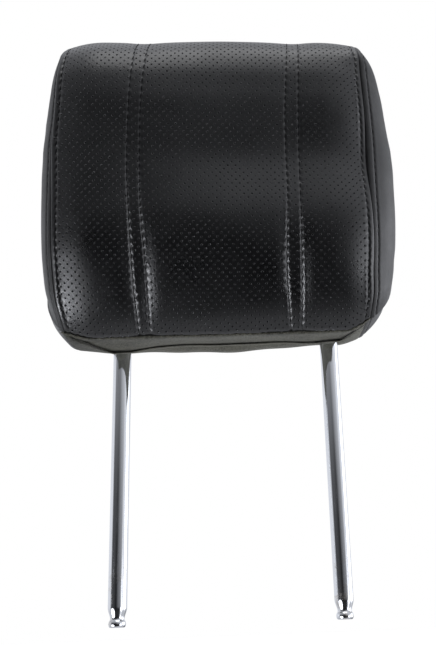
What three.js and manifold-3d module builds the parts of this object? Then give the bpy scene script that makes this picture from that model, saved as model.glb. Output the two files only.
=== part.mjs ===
// Car headrest on two plated steel posts, sewn leather cover over foam. Millimetres, +Z up along the posts.
// Origin: midway between the lower ends of the two posts. The face that meets the head looks along -Y.
// The pad has its own frame (x, y', z'): z' runs up the pad, y' from its front to its back. It leans forward by
// LEAN, so that the pad stands upright when the seat back that carries the posts is reclined.
import * as THREE from "three";
import { mergeVertices } from "three/addons/utils/BufferGeometryUtils.js";
import Module from "manifold-3d";

const wasm = await Module();
wasm.setup();

// ---- driving dimensions -------------------------------------------------------------------------------------
const POST_R = 6.0; // posts are 12 mm tube
const POST_BORE_R = 4.0; // 2 mm wall
const POST_SPACING = 141; // centre to centre
const PAD_Z = 187; // height of the pad frame's origin above the post ends
const LEAN = (16.5 * Math.PI) / 180;
const FRAME_TOP = 147; // z' of the cross tube
const FRAME_CORNER_R = 30;
const LEAN_BEND_R = 60;
const GAP = 0.35;
const SKIN = 2.0; // cover leather with its laminated backing
const SEAM_U = 0.5; // the two long seams of the face, as a share of its half width
const BULGE = 14; // how far the side panels stand out past their seams
const SPINE = [55, 122]; // z' range of the side panels' flat middle
const CORE_X = 84;
const CORE_Z = [27, 167];
const CORE_FRONT = -16; // y' of the core's front and rear faces
const CORE_REAR = 25;
const CORE_WALL = 3;
const SCREWS = [[-40, 60], [40, 60], [-40, 118], [40, 118]];

// ---- the pad's outer form -----------------------------------------------------------------------------------
// Side profile, front lower seam -> up the face -> over the top -> down the back -> rear lower seam, as (y', z').
const PROFILE = [
  [-41, 0], [-47, 12], [-52, 30], [-54.5, 52], [-54, 75], [-51, 98], [-47.5, 120], [-45.5, 140], [-44.5, 158],
  [-42, 174.5], [-35, 188.5], [-23, 197.5], [-8, 200.5], [8, 198.5], [21, 190.5], [30, 177.5], [35, 158.5], [38, 130],
  [40, 100], [41, 70], [40.5, 40], [38, 12], [34, -5],
];
const N_BAND = 30; // steps along the profile
const N_BASE = 8; // steps across the underside
const REAR_SEAM = 18; // profile step where the face panels meet the rear panel

// Hermite spline through the points with chord-length tangents, resampled at even steps.
function spline(points, steps) {
  const n = points.length;
  const d = points.slice(1).map((p, i) => Math.hypot(p[0] - points[i][0], p[1] - points[i][1]));
  const tangent = points.map((p, i) => {
    if (i === 0) return [0, 1].map((k) => (points[1][k] - p[k]) / d[0]);
    if (i === n - 1) return [0, 1].map((k) => (p[k] - points[n - 2][k]) / d[n - 2]);
    return [0, 1].map((k) => {
      const a = (p[k] - points[i - 1][k]) / d[i - 1], b = (points[i + 1][k] - p[k]) / d[i];
      return (a * d[i] + b * d[i - 1]) / (d[i - 1] + d[i]);
    });
  });
  const dense = [];
  for (let i = 0; i < n - 1; i++)
    for (let j = 0; j < 24; j++) {
      const t = j / 24, t2 = t * t, t3 = t2 * t;
      dense.push([0, 1].map((k) =>
        (2 * t3 - 3 * t2 + 1) * points[i][k] + (t3 - 2 * t2 + t) * d[i] * tangent[i][k] +
        (-2 * t3 + 3 * t2) * points[i + 1][k] + (t3 - t2) * d[i] * tangent[i + 1][k]));
    }
  dense.push(points[n - 1]);
  const run = [0];
  for (let i = 1; i < dense.length; i++)
    run.push(run[i - 1] + Math.hypot(dense[i][0] - dense[i - 1][0], dense[i][1] - dense[i - 1][1]));
  const out = [];
  let j = 0;
  for (let i = 0; i <= steps; i++) {
    const want = (run[run.length - 1] * i) / steps;
    while (j < run.length - 2 && run[j + 1] < want) j++;
    const f = (want - run[j]) / (run[j + 1] - run[j]);
    out.push([0, 1].map((k) => dense[j][k] + f * (dense[j + 1][k] - dense[j][k])));
  }
  return out;
}

// Half width of the face between its side seams, at height z'.
const WIDTHS = [[-15, 98], [0, 98], [20, 100.8], [45, 102.3], [100, 101.8], [130, 101], [160, 98.8], [181, 97], [201, 94.5]];
function halfWidth(z) {
  let i = 0;
  while (i < WIDTHS.length - 2 && WIDTHS[i + 1][0] < z) i++;
  const f = Math.min(1, Math.max(0, (z - WIDTHS[i][0]) / (WIDTHS[i + 1][0] - WIDTHS[i][0])));
  return WIDTHS[i][1] + f * (WIDTHS[i + 1][1] - WIDTHS[i][1]);
}
const over = (u, from) => Math.max(0, (Math.abs(u) - from) / (1 - from));
const crown = (u) => 1.0 * u * u + 5.0 * over(u, 0.72) ** 2; // how far the face rolls back towards its side seams
const cornerLift = (u) => 7.1 * over(u, 0.68) ** 1.6; // the lower edge rises at its corners
const BASE_SAG = [2.5, 6]; // how far the underside hangs below the lower seams, and how much more so towards the rear

const band = spline(PROFILE, N_BAND);
const bandNormal = band.map((p, i) => {
  const a = band[Math.max(0, i - 1)], b = band[Math.min(N_BAND, i + 1)];
  const l = Math.hypot(b[0] - a[0], b[1] - a[1]);
  return [-(b[1] - a[1]) / l, (b[0] - a[0]) / l]; // outward: to the front on the face, up on the top
});

// One closed loop around the pad at the width share u: band points, then the underside from rear to front.
function loop(u) {
  const out = [];
  const lift = cornerLift(u);
  band.forEach((p, i) => {
    const c = crown(u) * Math.min(1, Math.min(i, N_BAND - i) / 3);
    const low = Math.max(0, 1 - p[1] / 60); // the corners lift only near the base
    const y = p[0] - c * bandNormal[i][0], z = p[1] - c * bandNormal[i][1] + lift * low ** 1.5;
    out.push([y, z]);
  });
  const front = out[0], rear = out[N_BAND];
  for (let j = 1; j < N_BASE; j++) {
    const t = 1 - (2 * j) / N_BASE;
    const y = (front[0] + rear[0]) / 2 + ((rear[0] - front[0]) / 2) * Math.sign(t) * Math.abs(t) ** 0.85;
    out.push([y, (front[1] * (1 - t)) / 2 + (rear[1] * (1 + t)) / 2 - (BASE_SAG[0] + BASE_SAG[1] * t) * (1 - Math.abs(t) ** 1.7)]);
  }
  return out.map(([y, z]) => [u * halfWidth(z), y, z]);
}

const STATIONS = [-1, -0.93, -0.84, -0.72, -0.59, -SEAM_U, -0.31, -0.155, 0, 0.155, 0.31, SEAM_U, 0.59, 0.72, 0.84, 0.93, 1];
const SIDE_R = [0.05, 0.14, 0.28, 0.5, 0.8];
function sideLoop(edge, side, r) {
  return edge.map(([x, y, z]) => {
    const qz = Math.min(SPINE[1], Math.max(SPINE[0], z));
    const e = r * r * (3 - 2 * r);
    const width = Math.abs(x) * (1 - e) + 102 * e + BULGE * (1 - (1 - r) ** 4.5);
    return [side * width, y + r * (-4 - y), z + r * (qz - z)];
  });
}
const left = loop(-1), right = loop(1);
const LOOPS = [
  ...SIDE_R.slice().reverse().map((r) => sideLoop(left, -1, r)),
  ...STATIONS.map(loop),
  ...SIDE_R.map((r) => sideLoop(right, 1, r)),
];
const NK = LOOPS.length, NM = LOOPS[0].length, NS = SIDE_R.length;

// Vertex normals of the closed pad, used for every offset below.
const V = LOOPS.map((l) => l.map((p) => new THREE.Vector3(...p)));
const NRM = V.map((l) => l.map(() => new THREE.Vector3()));
const addFace = (a, b, c) => {
  const n = new THREE.Vector3().subVectors(V[b[0]][b[1]], V[a[0]][a[1]]).cross(new THREE.Vector3().subVectors(V[c[0]][c[1]], V[a[0]][a[1]]));
  for (const q of [a, b, c]) NRM[q[0]][q[1]].add(n);
};
const SURFACE = [];
for (let k = 0; k < NK - 1; k++)
  for (let m = 0; m < NM; m++) {
    const m2 = (m + 1) % NM;
    SURFACE.push([[k, m], [k + 1, m], [k + 1, m2]], [[k, m], [k + 1, m2], [k, m2]]);
  }
const capFaces = (k, flip) => {
  const out = [];
  for (let m = 1; m < NM - 1; m++) out.push(flip ? [[k, 0], [k, m], [k, m + 1]] : [[k, 0], [k, m + 1], [k, m]]);
  return out;
};
SURFACE.push(...capFaces(0, true), ...capFaces(NK - 1, false));
SURFACE.forEach((f) => addFace(...f));
NRM.forEach((l) => l.forEach((n) => n.normalize()));

const geometryOf = (points, faces) => {
  const g = new THREE.BufferGeometry();
  g.setAttribute("position", new THREE.Float32BufferAttribute(points.flatMap((p) => [p.x, p.y, p.z]), 3));
  g.setIndex(faces.flat());
  return g;
};
const solidOf = (geometry) => {
  const bare = new THREE.BufferGeometry().setAttribute("position", (geometry.index ? geometry.toNonIndexed() : geometry).getAttribute("position"));
  const g = mergeVertices(bare, 1e-3);
  let made = new wasm.Manifold(new wasm.Mesh({ numProp: 3, vertProperties: g.attributes.position.array, triVerts: new Uint32Array(g.index.array) }));
  return made;
};
const backToGeometry = (solid) => {
  const m = solid.getMesh(), v = new Float32Array(m.numVert * 3);
  for (let i = 0; i < m.numVert; i++) for (let k = 0; k < 3; k++) v[i * 3 + k] = m.vertProperties[i * m.numProp + k];
  return new THREE.BufferGeometry().setAttribute("position", new THREE.BufferAttribute(v, 3)).setIndex(new THREE.BufferAttribute(m.triVerts, 1));
};

// The whole pad, drawn in by an offset.
function padBody(offset) {
  const points = V.flatMap((l, k) => l.map((p, m) => p.clone().addScaledVector(NRM[k][m], -offset)));
  return geometryOf(points, SURFACE.map((f) => f.map(([k, m]) => k * NM + m)));
}

// A sheet of cover material: loops k0..k1, profile steps m0..m1, SKIN thick, drawn in a little at its edges.
function panel(k0, k1, m0, m1, thick = SKIN) {
  const nk = k1 - k0 + 1, nm = m1 - m0 + 1, points = [];
  for (const depth of [0, thick])
    for (let k = k0; k <= k1; k++)
      for (let m = m0; m <= m1; m++) {
        const mm = ((m % NM) + NM) % NM;
        const p = V[k][mm].clone(), move = new THREE.Vector3();
        const toward = (kk, mq) => move.add(new THREE.Vector3().subVectors(V[kk][((mq % NM) + NM) % NM], V[k][mm]).setLength(GAP / 2 + 0.02));
        if (k === k0) toward(k + 1, m);
        if (k === k1) toward(k - 1, m);
        if (m === m0) toward(k, m + 1);
        if (m === m1) toward(k, m - 1);
        points.push(p.add(move).addScaledVector(NRM[k][mm], -depth));
      }
  const at = (d, k, m) => d * nk * nm + k * nm + m, faces = [];
  for (let k = 0; k < nk - 1; k++)
    for (let m = 0; m < nm - 1; m++) {
      faces.push([at(0, k, m), at(0, k + 1, m), at(0, k + 1, m + 1)], [at(0, k, m), at(0, k + 1, m + 1), at(0, k, m + 1)]);
      faces.push([at(1, k, m), at(1, k + 1, m + 1), at(1, k + 1, m)], [at(1, k, m), at(1, k, m + 1), at(1, k + 1, m + 1)]);
    }
  const wall = (a, b) => faces.push([at(0, ...a), at(0, ...b), at(1, ...b)], [at(0, ...a), at(1, ...b), at(1, ...a)]);
  for (let k = 0; k < nk - 1; k++) { wall([k + 1, 0], [k, 0]); wall([k, nm - 1], [k + 1, nm - 1]); }
  for (let m = 0; m < nm - 1; m++) { wall([0, m], [0, m + 1]); wall([nk - 1, m + 1], [nk - 1, m]); }
  return geometryOf(points, faces);
}

// A side panel: the disc of loops from the seam to the cap.
function sidePanel(side, thick = SKIN) {
  const ks = side < 0 ? [...Array(NS + 1).keys()].reverse() : [...Array(NS + 1).keys()].map((i) => NK - 1 - NS + i);
  const points = [], faces = [], n = ks.length;
  for (const depth of [0, thick])
    ks.forEach((k, i) => {
      for (let m = 0; m < NM; m++) {
        const p = V[k][m].clone();
        if (i === 0) p.add(new THREE.Vector3().subVectors(V[ks[1]][m], p).setLength(GAP / 2 + 0.02));
        points.push(p.addScaledVector(NRM[k][m], -depth));
      }
    });
  const at = (d, i, m) => d * n * NM + i * NM + (m % NM);
  const put = (a, b, c) => faces.push(side > 0 ? [a, b, c] : [a, c, b]);
  for (let i = 0; i < n - 1; i++)
    for (let m = 0; m < NM; m++) {
      put(at(0, i, m), at(0, i + 1, m), at(0, i + 1, m + 1)); put(at(0, i, m), at(0, i + 1, m + 1), at(0, i, m + 1));
      put(at(1, i, m), at(1, i + 1, m + 1), at(1, i + 1, m)); put(at(1, i, m), at(1, i, m + 1), at(1, i + 1, m + 1));
    }
  for (let m = 1; m < NM - 1; m++) { put(at(0, n - 1, 0), at(0, n - 1, m + 1), at(0, n - 1, m)); put(at(1, n - 1, 0), at(1, n - 1, m), at(1, n - 1, m + 1)); }
  for (let m = 0; m < NM; m++) { put(at(0, 0, m + 1), at(1, 0, m + 1), at(1, 0, m)); put(at(0, 0, m + 1), at(1, 0, m), at(0, 0, m)); }
  return geometryOf(points, faces);
}

// ---- the post frame -----------------------------------------------------------------------------------------
// Centre line of the bent tube in the row frame: post, lean bend, upright, corner, cross tube, and back down.
const toRow = ([x, y, z]) => new THREE.Vector3(x, y * Math.cos(LEAN) - z * Math.sin(LEAN), PAD_Z + y * Math.sin(LEAN) + z * Math.cos(LEAN));
const BEND_START = PAD_Z + 2;
function halfPath() {
  const out = [], X = POST_SPACING / 2;
  const straight = [0, 0.35, 1.1, 2.2, 3.4, 4.3, 4.9, 6.4, 8.4, 10, 11.6, 20, 80, 140, BEND_START];
  straight.forEach((z) => out.push(new THREE.Vector3(X, 0, z)));
  for (let i = 1; i <= 5; i++) {
    const a = (LEAN * i) / 5;
    out.push(new THREE.Vector3(X, -LEAN_BEND_R * (1 - Math.cos(a)), BEND_START + LEAN_BEND_R * Math.sin(a)));
  }
  const end = out[out.length - 1];
  const yPad = end.y * Math.cos(LEAN) + (end.z - PAD_Z) * Math.sin(LEAN);
  const zPad = -end.y * Math.sin(LEAN) + (end.z - PAD_Z) * Math.cos(LEAN);
  out.push(toRow([X, yPad, (zPad + FRAME_TOP - FRAME_CORNER_R) / 2]));
  for (let i = 0; i <= 6; i++) {
    const a = ((Math.PI / 2) * i) / 6;
    out.push(toRow([X - FRAME_CORNER_R * (1 - Math.cos(a)), yPad, FRAME_TOP - FRAME_CORNER_R + FRAME_CORNER_R * Math.sin(a)]));
  }
  return { path: out, yPad };
}
const { path: rightHalf, yPad: TUBE_Y } = halfPath();
const fullPath = [...rightHalf, new THREE.Vector3(0, ...toRow([0, TUBE_Y, FRAME_TOP]).toArray().slice(1)), ...rightHalf.slice().reverse().map((p) => new THREE.Vector3(-p.x, p.y, p.z))];
// Radii by distance from the post end: rounded bead, neck, shoulder. The bore is swaged in with it.
const OUTER = [[0, 4.3], [0.35, 4.9], [1.1, 5.3], [2.2, 5.4], [3.4, 5.25], [4.3, 4.75], [4.9, 4.5], [6.4, 4.6], [8.4, 5.05], [10, 5.6], [11.6, POST_R]];
const INNER = [[0, 2.7], [4.9, 2.6], [8.4, 3.1], [11.6, POST_BORE_R]];
const radiusAt = (table, s) => {
  if (s >= table[table.length - 1][0]) return table[table.length - 1][1];
  let i = 0;
  while (table[i + 1][0] < s) i++;
  return table[i][1] + ((table[i + 1][1] - table[i][1]) * (s - table[i][0])) / (table[i + 1][0] - table[i][0]);
};
// Rings along a path with frames carried along it.
function rings(path, radius, sides) {
  let normal = new THREE.Vector3(0, 1, 0);
  let last = null;
  const total = path.slice(1).reduce((s, p, i) => s + p.distanceTo(path[i]), 0);
  let run = 0;
  return path.map((p, i) => {
    if (i) run += p.distanceTo(path[i - 1]);
    const t = new THREE.Vector3().subVectors(path[Math.min(path.length - 1, i + 1)], path[Math.max(0, i - 1)]).normalize();
    if (last) normal.applyQuaternion(new THREE.Quaternion().setFromUnitVectors(last, t));
    last = t;
    const b = new THREE.Vector3().crossVectors(t, normal).normalize();
    const r = radius(Math.min(run, total - run));
    return [...Array(sides).keys()].map((k) => {
      const a = (2 * Math.PI * k) / sides;
      return p.clone().addScaledVector(normal, r * Math.cos(a)).addScaledVector(b, r * Math.sin(a));
    });
  });
}
function tube(path, outer, inner, sides) {
  const a = rings(path, outer, sides), b = inner ? rings(path, inner, sides) : null;
  const points = [...a.flat(), ...(b ? b.flat() : [])], faces = [], n = path.length;
  const at = (d, i, k) => d * n * sides + i * sides + (k % sides);
  for (let i = 0; i < n - 1; i++)
    for (let k = 0; k < sides; k++) {
      faces.push([at(0, i, k), at(0, i, k + 1), at(0, i + 1, k + 1)], [at(0, i, k), at(0, i + 1, k + 1), at(0, i + 1, k)]);
      if (b) faces.push([at(1, i, k), at(1, i + 1, k + 1), at(1, i, k + 1)], [at(1, i, k), at(1, i + 1, k), at(1, i + 1, k + 1)]);
    }
  for (let k = 0; k < sides; k++) {
    if (b) {
      faces.push([at(0, 0, k + 1), at(0, 0, k), at(1, 0, k)], [at(0, 0, k + 1), at(1, 0, k), at(1, 0, k + 1)]);
      faces.push([at(0, n - 1, k), at(0, n - 1, k + 1), at(1, n - 1, k + 1)], [at(0, n - 1, k), at(1, n - 1, k + 1), at(1, n - 1, k)]);
    } else if (k > 0 && k < sides - 1) {
      faces.push([at(0, 0, 0), at(0, 0, k + 1), at(0, 0, k)], [at(0, n - 1, 0), at(0, n - 1, k), at(0, n - 1, k + 1)]);
    }
  }
  return geometryOf(points, faces);
}
const frameGeometry = tube(fullPath, (s) => radiusAt(OUTER, s), (s) => radiusAt(INNER, s), 18);

// Everything below is cut in the pad's own frame.
const padToRow = new THREE.Matrix4().makeBasis(
  new THREE.Vector3(1, 0, 0), new THREE.Vector3(0, Math.cos(LEAN), Math.sin(LEAN)), new THREE.Vector3(0, -Math.sin(LEAN), Math.cos(LEAN)),
).setPosition(0, 0, PAD_Z);
const rowToPad = padToRow.clone().invert();
const tubeCut = (grow) => solidOf(tube(fullPath.filter((p, i) => i < 1 || (p.z > 30)).concat(fullPath[fullPath.length - 1]), () => POST_R + grow, null, 16).applyMatrix4(rowToPad));

// ---- the core: two moulded half shells that clamp the tube ----------------------------------------------------
const roundedRect = (x0, x1, y0, y1, r) => {
  const s = new THREE.Shape();
  s.moveTo(x0 + r, y0); s.lineTo(x1 - r, y0); s.absarc(x1 - r, y0 + r, r, -Math.PI / 2, 0, false);
  s.lineTo(x1, y1 - r); s.absarc(x1 - r, y1 - r, r, 0, Math.PI / 2, false);
  s.lineTo(x0 + r, y1); s.absarc(x0 + r, y1 - r, r, Math.PI / 2, Math.PI, false);
  s.lineTo(x0, y0 + r); s.absarc(x0 + r, y0 + r, r, Math.PI, 1.5 * Math.PI, false);
  return s;
};
// A plate drawn in x and z', from y0 to y1.
const slab = (shape, y0, y1, segments = 5) => solidOf(new THREE.ExtrudeGeometry(shape, { depth: y1 - y0, bevelEnabled: false, curveSegments: segments })
  .applyMatrix4(new THREE.Matrix4().makeBasis(new THREE.Vector3(1, 0, 0), new THREE.Vector3(0, 0, 1), new THREE.Vector3(0, -1, 0)).setPosition(0, y1, 0)));
const pegGeometry = (r, y0, y1, x, z, sides = 14) => new THREE.CylinderGeometry(r, r, y1 - y0, sides).applyMatrix4(new THREE.Matrix4().makeTranslation(x, (y0 + y1) / 2, z));
const peg = (...a) => solidOf(pegGeometry(...a));
const block = (x0, x1, y0, y1, z0, z1) => solidOf(new THREE.BoxGeometry(x1 - x0, y1 - y0, z1 - z0).translate((x0 + x1) / 2, (y0 + y1) / 2, (z0 + z1) / 2));
const coreOutline = (grow) => roundedRect(-CORE_X - grow, CORE_X + grow, CORE_Z[0] - grow, CORE_Z[1] + grow, 26 + grow);
const RIB_X = [-56, 0, 56];
function coreHalf(front) {
  const [y0, y1] = front ? [CORE_FRONT, TUBE_Y - 0.2] : [TUBE_Y + 0.2, CORE_REAR];
  const [p0, p1] = front ? [y0 + CORE_WALL, y1 + 1] : [y0 - 1, y1 - CORE_WALL];
  let s = slab(coreOutline(0), y0, y1).subtract(slab(coreOutline(-CORE_WALL), p0, p1));
  for (const x of RIB_X) s = s.add(block(x - 1.5, x + 1.5, y0 + 0.5, y1 - 0.5, CORE_Z[0] + 1, CORE_Z[1] - 1));
  for (const z of [80, 104]) s = s.add(block(-CORE_X + 1, CORE_X - 1, y0 + 0.5, y1 - 0.5, z - 1.5, z + 1.5));
  for (const [x, z] of SCREWS) s = s.add(peg(5.2, y0 + 0.5, y1, x, z));
  for (const [x, z] of SCREWS)
    s = front ? s.subtract(peg(2.25, y0 + 6, y1 + 1, x, z)) : s.subtract(peg(2.25, y0 - 1, y1 + 1, x, z)).subtract(peg(4.4, y1 - 2.2, y1 + 1, x, z));
  s = s.subtract(tubeCut(GAP));
  return s;
}
const biggest = (solid) => solid.decompose().sort((a, b) => b.volume() - a.volume())[0];
const coreFront = biggest(coreHalf(true)), coreRear = biggest(coreHalf(false));

// Pan-head screw, its axis along y', head to the rear.
const screwGeometry = new THREE.LatheGeometry(
  [[0, 0], [1.1, 1.6], [1.9, 2.4], [1.9, 24.5], [4.0, 24.5], [4.0, 25.6], [3.1, 26.4], [0, 26.4]].map(([r, y]) => new THREE.Vector2(r, y)), 14);
const SCREW_Y = CORE_REAR - 1.85 - 24.5; // tip position, so that the head seats in its recess

// ---- foam, cover and closure ----------------------------------------------------------------------------------
const CLOSURE_X = 58;
const jStrip = (points) => {
  const s = new THREE.Shape(points.map(([y, z]) => new THREE.Vector2(y + SLIT_Y - 0.6, z + HOOK_Z)));
  return new THREE.ExtrudeGeometry(s, { depth: 2 * CLOSURE_X, bevelEnabled: false })
    .applyMatrix4(new THREE.Matrix4().makeBasis(new THREE.Vector3(0, 1, 0), new THREE.Vector3(0, 0, 1), new THREE.Vector3(1, 0, 0)).setPosition(-CLOSURE_X, 0, 0));
};
// Two hooks of one section that clip into each other behind the slit.
const SLIT_Y = -2.3; // the slit in the underside lies on the posts' line
const HOOK_Z = -1.0; // underside of both hooks' flanges
const hookFront = [[-9, 0], [1.2, 0], [1.2, 7], [-3.6, 7], [-3.6, 3.4], [-2.2, 3.4], [-2.2, 5.4], [-0.4, 5.4], [-0.4, 1.4], [-9, 1.4]];
const hookRear = [[9, 0], [9, 1.4], [3, 1.4], [3, 8.9], [-5.2, 8.9], [-5.2, 4.2], [-4.1, 4.2], [-4.1, 7.6], [1.7, 7.6], [1.7, 0]];

const postHoles = solidOf(tube([new THREE.Vector3(POST_SPACING / 2, 0, 150), new THREE.Vector3(POST_SPACING / 2, 0, 240)], () => POST_R + 0.5, null, 20).applyMatrix4(rowToPad))
  .add(solidOf(tube([new THREE.Vector3(-POST_SPACING / 2, 0, 150), new THREE.Vector3(-POST_SPACING / 2, 0, 240)], () => POST_R + 0.5, null, 20).applyMatrix4(rowToPad)));
let foam = solidOf(padBody(SKIN + GAP + 0.1))
  .subtract(slab(coreOutline(GAP + 0.2), CORE_FRONT - GAP, CORE_REAR + GAP))
  .subtract(tubeCut(0.5))
  .subtract(postHoles)
  .subtract(block(-CLOSURE_X - 1, CLOSURE_X + 1, SLIT_Y - 11, SLIT_Y + 10, -14, HOOK_Z + 9.6));
// The foam is slit from its underside to the core, where the frame goes in.
foam = foam.subtract(block(-POST_SPACING / 2, POST_SPACING / 2, TUBE_Y - 0.4, TUBE_Y + 0.4, -14, CORE_Z[0] + 1));
foam = biggest(foam);

// The underside is two cloth flaps that meet at a slit with the posts between them.
const K0 = NS, K1 = NK - 1 - NS;
const baseSheet = solidOf(panel(K0, K1, N_BAND, NM, 1.2));
const cutFront = block(-200, 200, -100, SLIT_Y - 0.2, -40, 40), cutRear = block(-200, 200, SLIT_Y + 0.2, 100, -40, 40);
const flapFront = biggest(baseSheet.intersect(cutFront).subtract(postHoles));
const flapRear = biggest(baseSheet.intersect(cutRear).subtract(postHoles));

// ---- materials and the scene ----------------------------------------------------------------------------------
const material = (color, roughness, metalness = 0) => new THREE.MeshStandardMaterial({ color, roughness, metalness });
const LEATHER = material(0x1c1c1e, 0.5), CLOTH = material(0x3a3a37, 0.95), CHROME = material(0xd8dadd, 0.12, 1);
const FOAM = material(0x77746a, 1), SHELL = material(0x26282b, 0.7), STEEL = material(0x8f8c84, 0.4, 1), HOOK = material(0x111213, 0.6);

const headrest = new THREE.Group();
const pad = new THREE.Group();
pad.applyMatrix4(padToRow);
headrest.add(pad);
const put = (group, name, geometry, mat) => {
  geometry.computeVertexNormals();
  const mesh = new THREE.Mesh(geometry, mat);
  mesh.name = name;
  group.add(mesh);
  return mesh;
};
put(headrest, "post_frame", frameGeometry, CHROME);
put(pad, "core_front_shell", backToGeometry(coreFront), SHELL);
put(pad, "core_rear_shell", backToGeometry(coreRear), SHELL);
SCREWS.forEach(([x, z], i) => { put(pad, "core_screw_" + (i + 1), screwGeometry.clone(), STEEL).position.set(x, SCREW_Y, z); });
put(pad, "foam_pad", backToGeometry(foam), FOAM);
const kSeamL = NS + STATIONS.indexOf(-SEAM_U), kSeamR = NS + STATIONS.indexOf(SEAM_U);
put(pad, "front_left_panel", panel(K0, kSeamL, 0, REAR_SEAM), LEATHER);
put(pad, "front_centre_panel", panel(kSeamL, kSeamR, 0, REAR_SEAM), LEATHER);
put(pad, "front_right_panel", panel(kSeamR, K1, 0, REAR_SEAM), LEATHER);
put(pad, "rear_panel", panel(K0, K1, REAR_SEAM, N_BAND), LEATHER);
put(pad, "left_side_panel", sidePanel(-1), LEATHER);
put(pad, "right_side_panel", sidePanel(1), LEATHER);
put(pad, "bottom_front_flap", backToGeometry(flapFront), CLOTH);
put(pad, "bottom_rear_flap", backToGeometry(flapRear), CLOTH);
put(pad, "closure_hook_front", jStrip(hookFront), HOOK);
put(pad, "closure_hook_rear", jStrip(hookRear), HOOK);

export default headrest;
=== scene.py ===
import math
import bpy
import numpy as np
from mathutils import Matrix, Vector
from mathutils.geometry import delaunay_2d_cdt


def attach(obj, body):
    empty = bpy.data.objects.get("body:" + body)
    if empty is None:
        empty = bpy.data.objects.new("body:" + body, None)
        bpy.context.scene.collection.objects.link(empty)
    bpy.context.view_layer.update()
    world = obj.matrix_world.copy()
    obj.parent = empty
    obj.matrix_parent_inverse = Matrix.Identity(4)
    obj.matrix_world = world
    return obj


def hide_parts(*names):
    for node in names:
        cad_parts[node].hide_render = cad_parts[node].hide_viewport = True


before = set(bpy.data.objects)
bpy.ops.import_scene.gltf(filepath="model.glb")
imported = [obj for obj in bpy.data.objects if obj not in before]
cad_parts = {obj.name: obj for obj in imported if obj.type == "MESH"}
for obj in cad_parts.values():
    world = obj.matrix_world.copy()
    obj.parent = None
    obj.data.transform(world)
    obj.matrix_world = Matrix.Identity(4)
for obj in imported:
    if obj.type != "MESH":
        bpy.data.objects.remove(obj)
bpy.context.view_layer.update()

# ================================================================ camera
# Fitted to the posts, the pad's outline and its seams. Lengths in millimetres until the last step.
FOCAL_PX, DISTANCE, AZ, EL, ROLL = 871.0, 600.0, math.radians(-1.12), math.radians(-18.95), math.radians(-2.12)
TARGET, LENS_OFF_PX = Vector((29.2, 0.0, 187.8)), 50.0
WIDE, TALL = 436, 670


def make_camera():
    d = Vector((-math.sin(AZ) * math.cos(EL), math.cos(AZ) * math.cos(EL), -math.sin(EL)))
    right = d.cross(Vector((0, 0, 1))).normalized()
    up = right.cross(d)
    r = right * math.cos(ROLL) + up * math.sin(ROLL)
    u = up * math.cos(ROLL) - right * math.sin(ROLL)
    data = bpy.data.cameras.new("camera")
    data.sensor_fit = "AUTO"
    data.sensor_width = 36.0
    data.lens = FOCAL_PX / TALL * 36.0
    data.shift_x = -LENS_OFF_PX / TALL
    data.clip_start, data.clip_end = 0.02, 60
    cam = bpy.data.objects.new("camera", data)
    m = Matrix((r, u, -d)).transposed().to_4x4()
    m.translation = (TARGET - d * DISTANCE) / 1000
    cam.matrix_world = m
    bpy.context.scene.collection.objects.link(cam)
    bpy.context.scene.camera = cam


make_camera()

# ================================================================ the pad's form (pad frame, millimetres)
POST_R, POST_SPACING, PAD_Z = 6.0, 141.0, 187.0
LEAN = math.radians(16.5)
PROFILE = [(-41, 0), (-47, 12), (-52, 30), (-54.5, 52), (-54, 75), (-51, 98), (-47.5, 120), (-45.5, 140), (-44.5, 158),
           (-42, 174.5), (-35, 188.5), (-23, 197.5), (-8, 200.5), (8, 198.5), (21, 190.5), (30, 177.5), (35, 158.5),
           (38, 130), (40, 100), (41, 70), (40.5, 40), (38, 12), (34, -5)]
WIDTHS = [(-15, 98), (0, 98), (20, 100.8), (45, 102.3), (100, 101.8), (130, 101), (160, 98.8), (181, 97), (201, 94.5)]
# The sewn cover sits a little off centre and isn't quite even: what each side adds to the half width, how far its
# side panel swells, and how fast it swells away from the seam, each as (z, value).
WIDER = {-1: [(-15, -1.0), (0, -1.0), (27, -0.2), (49, 0), (122, -0.1), (147, -1.1), (175, -0.4), (201, 0.6)],
         1: [(-15, 1.9), (0, 1.9), (14, 1.2), (39, -0.4), (85, 0), (142, 1.4), (175, 2.9), (185, 3.6), (201, 3.0)]}
BULGE = {-1: [(-10, 16.3), (-3, 14.5), (4, 12.6), (20, 11.6), (35, 11.2), (60, 11.2), (103, 11.6), (120, 10.9), (150, 10.6), (165, 9.7), (180, 9.2), (192, 10.0), (201, 10.6)],
         1: [(-10, 19.5), (-2, 18.6), (6, 17.0), (20, 17.0), (45, 18.0), (60, 18.8), (90, 19.6), (105, 19.6), (120, 18.6), (138, 17.0), (155, 16.0), (175, 15.0), (190, 14.0), (201, 14)]}
QUICKNESS = {-1: [(-10, 5.5), (10, 4.5), (150, 4.5), (201, 5.5)], 1: [(-10, 4.5), (30, 4.5), (170, 4.5), (182, 4.9), (192, 6.6), (201, 8.0)]}
LIFT = {-1: (4.6, 1.2), 1: (7.6, 2.6)}     # how far the lower corners are drawn up, at the front and at the rear
FULL = {-1: (3.8, -0.4), 1: (-0.8, -1.3)}     # how far the underside's ends swell outwards and down between the seams
SPINE, SIDE_MID = (55.0, 122.0), -4.0
BASE_SAG = (2.5, 6.0)
TAPER, SHIFT = 0.014, -5.0
ROLL_R = 1.15                   # radius of a panel's turned edge at a seam
PITCH = 4.98                    # perforation: columns 5 apart, rows 2.5 apart, every other row set over by half
STITCH = 5.1


def smooth(t):
    t = np.clip(t, 0, 1)
    return t * t * (3 - 2 * t)


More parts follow.
